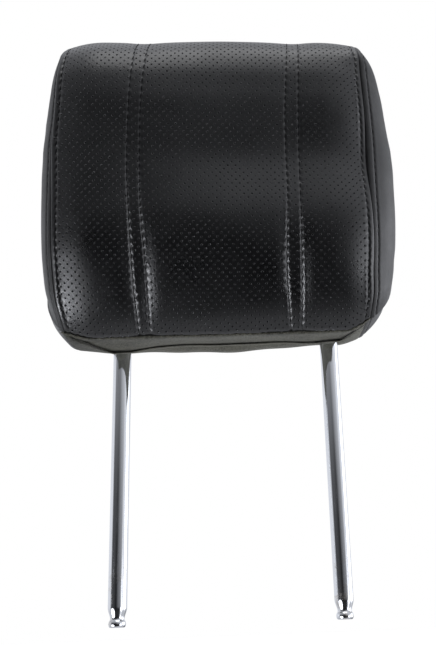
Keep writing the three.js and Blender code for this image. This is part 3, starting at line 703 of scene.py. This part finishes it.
# ================================================================ threads
def stitches(line_points, line_normals, param, shift=0.0, radius=0.33, length=4.1, sink=0.5, lean=0.0):
    """A row of lockstitches along a seam given finely as points, outward normals and its running length."""
    p, n = np.asarray(line_points), unit(np.asarray(line_normals))
    param = np.asarray(param, float)
    at = lambda q: np.stack([np.interp(q, param, p[:, k]) for k in range(3)], -1)
    atn = lambda q: unit(np.stack([np.interp(q, param, n[:, k]) for k in range(3)], -1))
    verts, faces, ns, nk = [], [], 6, 9
    first = math.ceil((param[0] + length / 2 + 0.4 + shift) / STITCH)
    last = math.floor((param[-1] - length / 2 - 0.4 + shift) / STITCH)
    for j in range(first, last + 1):
        mid = j * STITCH - shift
        q = np.linspace(mid - length / 2, mid + length / 2, nk)
        c, m = at(q), atn(q)
        t = unit(np.gradient(c, axis=0))
        side = unit(np.cross(t, m))
        f = np.linspace(-1, 1, nk)
        wobble = math.sin(j * 12.9898) * 0.04
        rise = radius * 0.55 - (radius + sink) * np.abs(f) ** 3.0
        c = c + m * rise[:, None] + side * ((lean + wobble) * f)[:, None]
        rr = radius * (1 - 0.4 * np.abs(f) ** 2.6)
        a = np.arange(ns) * 2 * np.pi / ns
        ring = c[:, None] + (m[:, None] * np.cos(a)[None, :, None] * 0.8 + side[:, None] * np.sin(a)[None, :, None]) * rr[:, None, None]
        o = len(verts) * nk * ns
        verts.append(ring.reshape(-1, 3))
        faces += [list(g) for g in grid_faces(nk, ns, o, wrap_j=True)]
        faces.append([o + k for k in range(ns)])
        faces.append([o + (nk - 1) * ns + k for k in range(ns)][::-1])
    return np.concatenate(verts), faces


def thread_piece(name, rows):
    v, f, o = [], [], 0
    for a, b in rows:
        v.append(a)
        f += [[i + o for i in q] for q in b]
        o += len(a)
    piece = make(name, np.concatenate(v), f, [THREAD])
    return piece


# ================================================================ side panels
def loop_at(u, m_s, m_t):
    """The seam loop at u: up the face, over, down the back, then forward under the base."""
    top = band(np.full_like(m_s, u), m_s)
    under = base(np.full_like(m_t, u), m_t)
    return np.concatenate([top, under])


M_S = np.linspace(0, ARC, 300)
M_T = np.linspace(1, -1, 62)[1:-1]
RINGS = np.array([0, 0.0015, 0.004, 0.008, 0.013, 0.020, 0.030, 0.040, 0.048, 0.054, 0.060, 0.066, 0.074, 0.086, 0.103, 0.125,
                  0.155, 0.19, 0.235, 0.29, 0.355, 0.43, 0.52, 0.62, 0.73, 0.85, 0.985])


def side_shape(side, r):
    edge = loop_at(float(side), M_S, M_T)[None]
    r = np.asarray(r, float)[:, None]
    e = r * r * (3 - 2 * r)
    z0 = edge[..., 2]
    qz = np.clip(z0, *SPINE)
    zb = z0 + (qz - z0) * smooth((r - 0.3) / 0.6)      # towards the middle, the swell no longer depends on where it set out
    w = np.abs(edge[..., 0]) * (1 - e) + 102 * e + table(BULGE[side], zb) * (1 - (1 - r) ** table(QUICKNESS[side], z0))
    y = edge[..., 1] + r * (SIDE_MID - edge[..., 1])
    z = edge[..., 2] + r * (qz - edge[..., 2])
    return np.stack([side * w, y, z], -1)


def side_panel(side):
    p = side_shape(side, RINGS)
    nm = p.shape[1]
    d = np.concatenate([np.zeros((1, nm)), np.cumsum(np.linalg.norm(np.diff(p, axis=0), axis=-1), axis=0)])
    around = np.r_[0, np.cumsum(np.linalg.norm(np.diff(p[0], axis=0), axis=1))]
    n = unit(np.cross(np.gradient(p, axis=0), np.roll(p, -1, 1) - np.roll(p, 1, 1)))
    n = n * np.where((n[..., :1] * side).mean() < 0, -1, 1)
    middle = smooth((RINGS - 0.62) / 0.3)[:, None, None]
    n = unit(n * (1 - middle) + np.array([float(side), 0, 0]) * middle)
    ridge = 4.6
    h = -turned(d) + channel(d - ridge, around[None], depth=0.8) + 0.35 * gauss(d - 2.4, 1.4)
    h = h + creases(p[..., 1] * 1.3, p[..., 2] * 1.1) * smooth(d / 25) * 1.2
    verts = p + n * h[..., None]
    skirt = p[0] - n[0] * (ROLL_R + 2.4) + np.array([side * -0.4, 0, 0])
    verts = np.concatenate([skirt[None], verts])
    nr = len(verts)
    faces = grid_faces(nr, nm, flip=side > 0, wrap_j=True).tolist()
    cap = [(nr - 1) * nm + k for k in range(nm)]
    faces.append(cap if side > 0 else cap[::-1])
    name = "cover_side_left" if side < 0 else "cover_side_right"
    piece = make(name, verts.reshape(-1, 3), faces, [SIDE_LEATHER])
    cover(piece, f"{'left' if side < 0 else 'right'}_side_panel")
    # stitched row
    k = int(np.argmin(np.abs(d.mean(1) - ridge)))
    row = np.stack([[np.interp(ridge, d[:, m], (p + n * h[..., None])[:, m, c]) for c in range(3)] for m in range(nm)])
    nrm = n[k]
    return row, nrm, around


# ================================================================ build the cover
for which in ("left", "centre", "right"):
    v, f, m, shade = cut_panel(which)
    piece = make(f"cover_front_{which}", v, f, [FACE_LEATHER, BACKING], m)
    me = piece.data
    across = to_row(warp(v[:len(shade)] + shade * 0.01)) - to_row(warp(v[:len(shade)]))
    across = unit(across)
    own = np.zeros((len(me.loops), 3))
    start = np.zeros(len(me.polygons), np.int32)
    total = np.zeros(len(me.polygons), np.int32)
    me.polygons.foreach_get("loop_start", start)
    me.polygons.foreach_get("loop_total", total)
    corner = np.zeros(len(me.loops), np.int32)
    me.loops.foreach_get("vertex_index", corner)
    fn = np.zeros(len(me.polygons) * 3)
    me.polygons.foreach_get("normal", fn)
    own = np.repeat(fn.reshape(-1, 3), total, axis=0)
    kind = np.zeros(len(me.polygons), np.int32)
    me.polygons.foreach_get("material_index", kind)
    usable = (corner < len(shade)) & (np.repeat(kind, total) == 0)
    skirt_face = np.add.reduceat(corner >= len(shade), start) > 0
    usable &= ~np.repeat(skirt_face, total)
    own[usable] = across[corner[usable]]
    me.normals_split_custom_set(own.tolist())
    cover(piece, f"front_{which}_panel")

along = np.arange(1.0, REAR - 1.0, 0.5)


def face_line(name, offset=0.0):
    x = line(name, along) + offset
    return face_surface(x, along), normal_of(skin, x, along), along


rows = [stitches(*face_line(n), shift=ph, lean=0.14) for n, ph in
        (("left_outer", 0.0), ("left_inner", 1.7), ("right_inner", 1.7), ("right_outer", 0.0))]
thread_piece("stitching_face_seams", rows)
rows = [stitches(*face_line(n), lean=0.18) for n in ("left_edge", "right_edge")]
thread_piece("stitching_face_edges", rows)

rows = []
for side in (-1, 1):
    row, nrm, around = side_panel(side)
    n_band = len(M_S)
    rows.append(stitches(row[2:n_band - 2], nrm[2:n_band - 2], around[2:n_band - 2], lean=0.18))
thread_piece("stitching_sides", rows)


# ---- rear panel
def rear_height(x, s):
    half = np.where(x < 0, half_at(s, -1), half_at(s, 1))
    d = half - np.abs(x)
    h = -turned(d) - turned(s - REAR) - turned(ARC - s, 1.2) + creases(x * 1.1 + 20, s) * 1.6
    h = h + 1.2 * np.sqrt(np.clip(1 - (x / half) ** 2, 0, 1))
    return h + channel(d - 3.7, s, depth=0.6) + channel(s - REAR - 3.7, x, depth=0.6) * smooth((d - 1) / 3)


def rear_panel():
    u = np.unique(np.r_[-1, -0.9985, -0.996, -0.992, -0.987, np.linspace(-0.98, 0.98, 120), 0.987, 0.992, 0.996, 0.9985, 1])
    s = np.unique(np.r_[REAR, REAR + 0.2, REAR + 0.5, REAR + 0.9, REAR + 1.5, np.linspace(REAR + 2.4, ARC - 2.4, 90), ARC - 1.5, ARC - 0.9, ARC - 0.5, ARC - 0.2, ARC])
    U, S = np.meshgrid(u, s, indexing="ij")
    X = spread(U, S)
    p, n = skin(X, S), normal_of(skin, X, S)
    h = rear_height(X, S)
    v = p + n * h[..., None]
    ni, nj = v.shape[:2]
    faces = grid_faces(ni, nj).tolist()
    flat = v.reshape(-1, 3)
    drop = (p - n * 4.0).reshape(-1, 3)
    rim = [i * nj for i in range(ni)] + [(ni - 1) * nj + j for j in range(1, nj)] + [i * nj + nj - 1 for i in range(ni - 2, -1, -1)] + [j for j in range(nj - 2, 0, -1)]
    o = len(flat)
    flat = np.concatenate([flat, drop[rim]])
    for k in range(len(rim)):
        l = (k + 1) % len(rim)
        faces.append((rim[l], rim[k], o + k, o + l))
    cover(make("cover_rear", flat, faces, [SIDE_LEATHER]), "rear_panel")
    a = np.arange(REAR + 4.5, ARC - 2, 0.5)
    out = []
    for sign in (-1, 1):
        x = sign * (half_at(a, sign) - 3.7)
        pp, nn = skin(x, a), normal_of(skin, x, a)
        out.append(stitches(pp + nn * rear_height(x, a)[:, None], nn, a, lean=0.18))
    x = np.arange(-half_at(REAR) + 5, half_at(REAR) - 5, 0.5)
    sa = np.full_like(x, REAR + 3.7)
    out.append(stitches(skin(x, sa) + normal_of(skin, x, sa) * rear_height(x, sa)[:, None], normal_of(skin, x, sa), x, lean=0.18))
    thread_piece("stitching_rear", out)


rear_panel()


# ---- the cloth underside: two hemmed flaps that meet between and around the posts
POST_X = POST_SPACING / 2


def hem_y(x, front):
    """y of the slit's edge. It opens round each post, and the rear flap tucks in under the front one between them."""
    bump = sum(gauss(x - SHIFT_X - sx * POST_X, 9.0) for sx in (-1, 1))
    ripple = 0.5 * np.sin(0.09 * x + 0.7) + 0.3 * np.sin(0.21 * x + 2.0)
    return (-2.6 - 5.6 * bump + ripple * 0.6) if front else (-5.4 + 12.6 * bump + ripple * 0.6)


SHIFT_X = -SHIFT                # the posts' centre plane, as seen from the pad's own middle


def narrowing(u):
    """How the slit runs forward to the front seam outside the posts: 1 between them, almost 0 at the corners."""
    left, right = np.clip((1 - np.abs(u)) / 0.28, 0, 1) ** 0.9, np.clip((1 - np.abs(u)) / 0.17, 0, 1) ** 0.7
    return 0.05 + 0.95 * np.where(u < 0, left, right)


def flap(front):
    u = np.unique(np.r_[-1, -0.9985, -0.995, -0.989, np.linspace(-0.98, 0.98, 180), 0.989, 0.995, 0.9985, 1])
    mid = base(u, np.zeros_like(u))
    f, r = band(u, np.zeros_like(u)), band(u, np.full_like(u, ARC))
    centre, span = (f[:, 1] + r[:, 1]) / 2, (r[:, 1] - f[:, 1]) / 2
    q = (hem_y(mid[:, 0], front) - centre) / span
    t_h = -1 + (1 + np.sign(q) * np.abs(q) ** (1 / 0.85)) * narrowing(u)
    w = np.r_[0, 0.006, 0.016, 0.032, 0.06, np.linspace(0.1, 0.9, 28), np.linspace(0.915, 1, 9)] if front else \
        np.r_[0, 0.006, 0.016, 0.032, 0.06, np.linspace(0.1, 1, 40)]
    t0 = -1.0 if front else 1.0
    T = t0 + (t_h[:, None] - t0) * w[None]
    U = np.repeat(u[:, None], len(w), 1)
    p = base(U, T)
    x = p[..., 0]
    long = np.linalg.norm(p[:, -1:] - p[:, :1], axis=-1)
    d = long * w[None]
    if front:
        # it hangs in a soft roll below the seam and is dragged down where it hugs the posts, most on the left one
        drag = 4.3 * gauss(x - SHIFT_X + POST_X + 2, 19) + 1.4 * gauss(x - SHIFT_X - POST_X + 2, 17)
        p[..., 2] -= drag * smooth((w[None] - 0.05) / 0.95) + 0.5 * np.sin(0.12 * x + 1.0) * w[None] * (1 - w[None]) * 2
        p[..., 2] -= 1.7 * np.clip(long / 14, 0.5, 1) * np.sin(np.pi * w[None] ** 0.55) + 0.5 * smooth((w[None] - 0.9) / 0.1)
        fold = gauss(x + 74 + 0.9 * d, 3.0) * 0.7 + gauss(x + 84 + 0.5 * d, 2.2) * 0.5 - gauss(x - 88 - 0.6 * d, 2.4) * 0.6
        p[..., 2] += fold * smooth(d / 4) * smooth((1 - w[None]) * 3)
        p[..., 2] += (0.30 * gauss(long - d - 3.6, 1.0) - 0.50 * gauss(long - d - 1.0, 1.0)) * smooth(d / 8)         # the hem's stitched ridge
    else:
        sag = (0.6 * np.sin(0.07 * x + 0.4) + 0.4 * np.sin(0.16 * x)) * 0.8 + 2.2 * gauss(x + 6, 46)
        near_hem = long - d
        p[..., 2] -= sag * smooth(w[None] * 2) * smooth((near_hem - 2) / 9)
        tuck = gauss(near_hem - 9.0, 1.5) - 0.8 * gauss(near_hem - 13.0, 1.7) + 0.7 * gauss(near_hem - 17.0, 1.6)
        p[..., 2] += 1.3 * tuck * smooth((-x - 62) / 12) * smooth(d / 5)
        p[..., 2] += (1.3 * (1 - smooth(near_hem / 7)) + 3.0 * smooth((np.abs(x) - 66) / 14) * (1 - smooth(near_hem / 5)))
    n = unit(np.cross(np.gradient(p, axis=0), np.gradient(p, axis=1)))
    if n[..., 2].mean() > 0:
        n = -n
    seam = np.linalg.norm(p - p[:, :1], axis=-1)
    pucker = (0.5 + 0.3 * np.cos(2 * np.pi * x / 4.4)) * gauss(seam, 1.8) if front else 0.0
    p = p - n * (turned(seam, 1.4) + pucker)[..., None] - n * turned((1 - np.abs(U)) * 98, 1.1)[..., None]
    # hem: the cloth turns back on itself
    r_h = 0.75 if front else 0.55
    tangent = unit(p[:, -1] - p[:, -2])
    nn = n[:, -1]
    rings = [p[:, k] for k in range(p.shape[1])]
    for a in np.linspace(0, np.pi, 8)[1:]:
        rings.append(p[:, -1] + tangent * (r_h * math.sin(a)) - nn * (r_h * (1 - math.cos(a))))
    for back in (0.3, 0.6, 0.9):
        rings.append(p[:, -1] - tangent * np.minimum(9.0, long * 0.8) * back - nn * (2 * r_h))
    rings.insert(0, p[:, 0] - n[:, 0] * 3.0)
    v = np.stack(rings, 1)
    faces = grid_faces(v.shape[0], v.shape[1]).tolist()
    a, b, c = v[80, 12], v[81, 12], v[80, 13]
    if np.cross(b - a, c - a)[2] > 0:
        faces = [fc[::-1] for fc in faces]
    name = "cover_base_front_flap" if front else "cover_base_rear_flap"
    strip = np.arange(len(faces)) % (v.shape[1] - 1)
    # the hem's fold takes the paler cloth, a painted highlight
    painted_highlight = (strip >= len(w) - 3) & (strip <= len(w) + 4) if front else strip < 0
    piece = make(name, v.reshape(-1, 3), faces, [CLOTH, CLOTH_PAINTED_HIGHLIGHT] if front else [CLOTH], painted_highlight.astype(int).tolist() if front else None)
    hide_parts("bottom_front_flap" if front else "bottom_rear_flap")


flap(True)
flap(False)


# ---- foam body, inside the cover
def foam_body():
    inset = 6.0
    u = np.linspace(-1, 1, 41)
    loops = []
    p_side = {s: side_shape(s, np.array([0.03, 0.12, 0.3, 0.6, 0.97])) for s in (-1, 1)}
    pick = np.r_[0:300:4, 299, 300:360:5]
    for row in p_side[-1][::-1]:
        loops.append(row[pick])
    for uu in u:
        loops.append(loop_at(float(uu), M_S, M_T)[pick])
    for row in p_side[1]:
        loops.append(row[pick])
    p = np.array(loops)
    n = unit(np.cross(np.gradient(p, axis=0), np.roll(p, -1, 1) - np.roll(p, 1, 1)))
    mid = p.mean((0, 1))
    if ((p - mid) * n).sum(-1).mean() < 0:
        n = -n
    v = p - n * inset
    nl, nm = v.shape[:2]
    faces = grid_faces(nl, nm, wrap_j=True).tolist()
    a, b, c = v[20, 10], v[21, 10], v[20, 11]
    if np.dot(np.cross(b - a, c - a), a - mid) < 0:
        faces = [f[::-1] for f in faces]
        caps = [[k for k in range(nm)][::-1], [(nl - 1) * nm + k for k in range(nm)]]
    else:
        caps = [[k for k in range(nm)], [(nl - 1) * nm + k for k in range(nm)][::-1]]
    faces += caps
    piece = make("foam_body", v.reshape(-1, 3), faces, [FOAM])
    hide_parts("foam_pad")


foam_body()


# ================================================================ the posts
TUBE_SIDES = 64


def posts():
    X = POST_X
    straight = np.r_[0, 0.15, 0.4, 0.8, 1.2, 1.7, 2.2, 2.7, 3.2, 3.6, 4.0, 4.35, 4.7, 5.1, 5.6, 6.3, 7.1, 8.0, 8.9, 9.7, 10.4, 11.0, 11.6, 12.2,
                     np.linspace(16, PAD_Z + 2, 14)]
    path = [(X, 0.0, z) for z in straight]
    bend = 60.0
    for a in np.linspace(0, LEAN, 10)[1:]:
        path.append((X, -bend * (1 - math.cos(a)), PAD_Z + 2 + bend * math.sin(a)))
    ye, ze = path[-1][1], path[-1][2] - PAD_Z
    y_pad, z_pad = ye * math.cos(LEAN) + ze * math.sin(LEAN), -ye * math.sin(LEAN) + ze * math.cos(LEAN)
    top, corner = 147.0, 30.0
    row = lambda x, z: tuple(to_row(np.array([x, y_pad, z], float)))
    for z in np.linspace(z_pad, top - corner, 6)[1:]:
        path.append(row(X, z))
    for a in np.linspace(0, math.pi / 2, 18)[1:]:
        path.append(row(X - corner * (1 - math.cos(a)), top - corner + corner * math.sin(a)))
    path += [row(x, top) for x in (30.0, 20.0, 10.0, 0.0)]
    half = np.array(path)
    full = np.concatenate([half, half[-2::-1] * [-1, 1, 1]])
    run = np.r_[0, np.cumsum(np.linalg.norm(np.diff(full, axis=0), axis=1))]
    e = np.minimum(run, run[-1] - run)
    outer_t = [(0, 4.25), (0.15, 4.6), (0.4, 4.9), (0.8, 5.15), (1.2, 5.28), (1.7, 5.38), (2.2, 5.4), (2.7, 5.38), (3.2, 5.28), (3.6, 5.12), (4.0, 4.88),
               (4.35, 4.64), (4.7, 4.5), (5.1, 4.45), (5.6, 4.46), (6.3, 4.56), (7.1, 4.78), (8.0, 5.08), (8.9, 5.38), (9.7, 5.64), (10.4, 5.82), (11.0, 5.93), (11.6, 5.985), (12.2, 6.0), (400, 6.0)]
    inner_t = [(0, 3.0), (0.4, 2.75), (0.9, 2.68), (4.9, 2.6), (8.4, 3.1), (11.6, 4.0), (400, 4.0)]
    sides = TUBE_SIDES
    t = np.gradient(full, axis=0)
    t = unit(t)
    nrm = np.zeros_like(full)
    nrm[0] = (0, 1, 0)
    for k in range(1, len(full)):
        a = nrm[k - 1] - t[k] * np.dot(nrm[k - 1], t[k])
        nrm[k] = a / np.linalg.norm(a)
    b = np.cross(t, nrm)
    ang = np.arange(sides) * 2 * np.pi / sides
    ring = nrm[:, None] * np.cos(ang)[None, :, None] + b[:, None] * np.sin(ang)[None, :, None]
    ro = np.interp(e, *zip(*outer_t))[:, None, None]
    ri = np.interp(e, *zip(*inner_t))[:, None, None]
    n = len(full)
    v = np.concatenate([full[:, None] + ring * ro, full[:, None] + ring * ri])
    faces = grid_faces(n, sides, wrap_j=True).tolist() + grid_faces(n, sides, n * sides, flip=True, wrap_j=True).tolist()
    for k in range(sides):
        l = (k + 1) % sides
        faces.append((k, n * sides + k, n * sides + l, l))
        faces.append(((n - 1) * sides + l, (2 * n - 1) * sides + l, (2 * n - 1) * sides + k, (n - 1) * sides + k))
    # outward: the first outer quad's normal points away from the path
    q = faces[len(faces) // 8]
    vv = v.reshape(-1, 3)
    nq = np.cross(vv[q[1]] - vv[q[0]], vv[q[2]] - vv[q[0]])
    ck = full[q[0] // sides]
    if np.dot(nq, vv[q[0]] - ck) < 0:
        faces = [f[::-1] for f in faces]
    piece = make("posts", vv, faces, [CHROME], pad=False, sharp=38)
    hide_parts("post_frame")


posts()


# ================================================================ studio
def studio():
    sc = bpy.context.scene
    sc.view_settings.view_transform = "Standard"
    sc.view_settings.look = "None"
    world = bpy.data.worlds.new("studio")
    sc.world = world
    world.use_nodes = True
    nt = world.node_tree
    bg = nt.nodes["Background"]
    out = nt.nodes["World Output"]
    direction = node(nt, "ShaderNodeTexCoord").outputs["Generated"]
    xyz = node(nt, "ShaderNodeSeparateXYZ")
    nt.links.new(direction, xyz.inputs[0])
    # a white tent behind the object, a dim room in front of it
    x, y, z = xyz.outputs
    turn = maths(nt, "ADD", y, maths(nt, "MULTIPLY", x, 0.27))

    def tent(heights):
        """Brightness by height, from (sine of the elevation, radiance) rows."""
        c = node(nt, "ShaderNodeFloatCurve")
        curve = c.mapping.curves[0]
        rows = [((h + 1) / 2, v / 4) for h, v in heights]
        curve.points[0].location, curve.points[1].location = rows[0], rows[-1]
        for r in rows[1:-1]:
            curve.points.new(*r)
        c.mapping.update()
        nt.links.new(ramp(nt, z, -1.0, 1.0, 0.0, 1.0), c.inputs["Value"])
        return maths(nt, "MULTIPLY", c.outputs[0], 4.0)

    front, back = tent(TENT_FRONT), tent(TENT_BACK)
    front = maths(nt, "MULTIPLY", front, maths(nt, "ADD", maths(nt, "MULTIPLY", x, 0.15), 1.0))
    side = ramp(nt, turn, -0.58, -0.30, 0.0, 1.0)
    level = maths(nt, "ADD", maths(nt, "MULTIPLY", back, side), maths(nt, "MULTIPLY", front, maths(nt, "SUBTRACT", 1.0, side)))

    def patch(azimuth, elevation, inner, outer, power):
        a, e = math.radians(azimuth), math.radians(elevation)
        v = Vector((math.sin(a) * math.cos(e), -math.cos(a) * math.cos(e), math.sin(e)))
        dot = node(nt, "ShaderNodeVectorMath", operation="DOT_PRODUCT")
        nt.links.new(direction, dot.inputs[0])
        dot.inputs[1].default_value = v
        return ramp(nt, dot.outputs["Value"], math.cos(math.radians(outer)), math.cos(math.radians(inner)), 0.0, power)

    total = level
    wall = maths(nt, "MULTIPLY", ramp(nt, z, -0.25, 0.12, 0.05, 1.0), maths(nt, "SUBTRACT", 1.0, side))
    for azimuth, elevation, inner, outer, power in PATCHES:
        glow = patch(azimuth, elevation, inner, outer, power)
        total = maths(nt, "ADD", total, maths(nt, "MULTIPLY", glow, wall) if outer > 60 else glow)
    grey = node(nt, "ShaderNodeCombineColor")
    for k, tint in enumerate((0.965, 0.985, 1.045)):
        nt.links.new(maths(nt, "MULTIPLY", total, tint), grey.inputs[k])
    nt.links.new(grey.outputs[0], bg.inputs["Color"])
    bg.inputs["Strength"].default_value = 1.0
    shown = node(nt, "ShaderNodeBackground")
    shown.inputs["Color"].default_value = (1, 1, 1, 1)
    shown.inputs["Strength"].default_value = 1.0
    mix = node(nt, "ShaderNodeMixShader")
    nt.links.new(node(nt, "ShaderNodeLightPath").outputs["Is Camera Ray"], mix.inputs[0])
    nt.links.new(bg.outputs[0], mix.inputs[1])
    nt.links.new(shown.outputs[0], mix.inputs[2])
    nt.links.new(mix.outputs[0], out.inputs["Surface"])
    for name, at, look, size, power in LIGHTS:
        d = bpy.data.lights.new(name, "AREA")
        d.shape = "RECTANGLE"
        d.size, d.size_y = size
        d.energy = power
        o = bpy.data.objects.new(name, d)
        o.location = at
        o.rotation_euler = (Vector(look) - Vector(at)).to_track_quat("-Z", "Y").to_euler()
        sc.collection.objects.link(o)
    # floor
    me = bpy.data.meshes.new("floor")
    w = 4.0
    me.from_pydata([(-w, -w, 0), (w, -w, 0), (w, w, 0), (-w, w, 0)], [], [(0, 1, 2, 3)])
    m, fnt, b = nodes_of("pale_floor")
    at = node(fnt, "ShaderNodeTexCoord").outputs["Object"]
    n = node(fnt, "ShaderNodeTexNoise", Scale=3.0)
    fnt.links.new(at, n.inputs["Vector"])
    fnt.links.new(mix_colour(fnt, n.outputs[0], (0.86, 0.86, 0.86), (0.89, 0.89, 0.89)), b.inputs["Base Color"])
    b.inputs["Roughness"].default_value = 0.9
    b.inputs["Emission Color"].default_value = (1, 1, 1, 1)
    b.inputs["Emission Strength"].default_value = 0.45
    me.materials.append(m)
    o = bpy.data.objects.new("floor", me)
    o.location = (0, 0, -0.013)
    o.visible_diffuse = False
    o.visible_glossy = False
    sc.collection.objects.link(o)


# The white tent: radiance against the sine of the elevation, in front of the object and beside and behind it.
TENT_FRONT = [(-1, 0.28), (-0.87, 0.09), (-0.7, 0.045), (-0.45, 0.025), (-0.17, 0.018), (0.0, 0.021), (0.08, 0.03), (0.16, 0.06), (0.25, 0.18),
              (0.34, 0.30), (0.48, 0.34), (0.64, 0.36), (0.76, 0.40), (0.9, 0.75), (1, 0.95)]
TENT_BACK = [(-1, 0.66), (-0.5, 0.6), (0.0, 0.85), (0.3, 0.85), (0.6, 0.6), (1, 0.95)]
# Soft boxes and glowing walls beside the camera: azimuth (0 towards the viewer, + right), elevation, half angles of the
# even middle and of the edge, radiance.
PATCHES = [(-56, -27, 0, 22, 6.3), (-54, -31, 0, 11, 11.5), (-62, 10, 10, 46, 0.05), (58, 18, 14, 66, 0.34), (58, -14, 4, 20, 2.6), (150, -24, 5, 26, -0.55),
           (100, 4, 6, 24, 2.6)]
LIGHTS = [("key_top", (0.1, -0.5, 1.2), (0, 0, 0.3), (0.9, 0.6), 2.4)]
studio()



def hollow_foam():
    """Room in the foam for the bent tube, the core with its screws, and the closure hooks."""
    foam, tube = bpy.data.objects["foam_body"], bpy.data.objects["posts"]
    cutters = []

    def cutter(verts, faces):
        verts = np.asarray(verts, float)
        inside = sum(np.dot(verts[f[0]], np.cross(verts[f[k]], verts[f[k + 1]])) for f in faces for k in range(1, len(f) - 1))
        if inside < 0:
            faces = [f[::-1] for f in faces]
        me = bpy.data.meshes.new("cutter")
        me.from_pydata(verts.tolist(), [], faces)
        o = bpy.data.objects.new("cutter", me)
        bpy.context.scene.collection.objects.link(o)
        cutters.append(o)

    n = len(tube.data.vertices)
    at, out = np.zeros(n * 3), np.zeros(n * 3)
    tube.data.vertices.foreach_get("co", at)
    tube.data.vertices.foreach_get("normal", out)
    half = n // 2                # the tube's outer wall comes first, one ring of TUBE_SIDES after the other
    rings = half // TUBE_SIDES
    faces = [tuple(map(int, f)) for f in grid_faces(rings, TUBE_SIDES, wrap_j=True)]
    faces += [tuple(range(TUBE_SIDES)), tuple(range(half - 1, half - 1 - TUBE_SIDES, -1))]
    cutter((at.reshape(-1, 3) + out.reshape(-1, 3) * 0.0004)[:half], faces)
    quads = [(0, 1, 3, 2), (4, 6, 7, 5), (0, 4, 5, 1), (2, 3, 7, 6), (0, 2, 6, 4), (1, 5, 7, 3)]
    for lo, hi in CAVITIES:
        c = np.array([(x, y, z) for x in (lo[0], hi[0]) for y in (lo[1], hi[1]) for z in (lo[2], hi[2])], float)
        cutter(to_row(c) / 1000, quads)
    for o in cutters:
        m = foam.modifiers.new("room", "BOOLEAN")
        m.operation, m.solver, m.object = "DIFFERENCE", "EXACT", o
    bpy.context.view_layer.update()
    cut = bpy.data.meshes.new_from_object(foam.evaluated_get(bpy.context.evaluated_depsgraph_get()))
    foam.modifiers.clear()
    foam.data = cut
    for o in cutters:
        bpy.data.objects.remove(o)


CAVITIES = [((-84.5, -16.5, 26.5), (84.5, 25.5, 167.5)), ((-59.5, -13.5, -14), (59.5, 8, 9.5))]
hollow_foam()
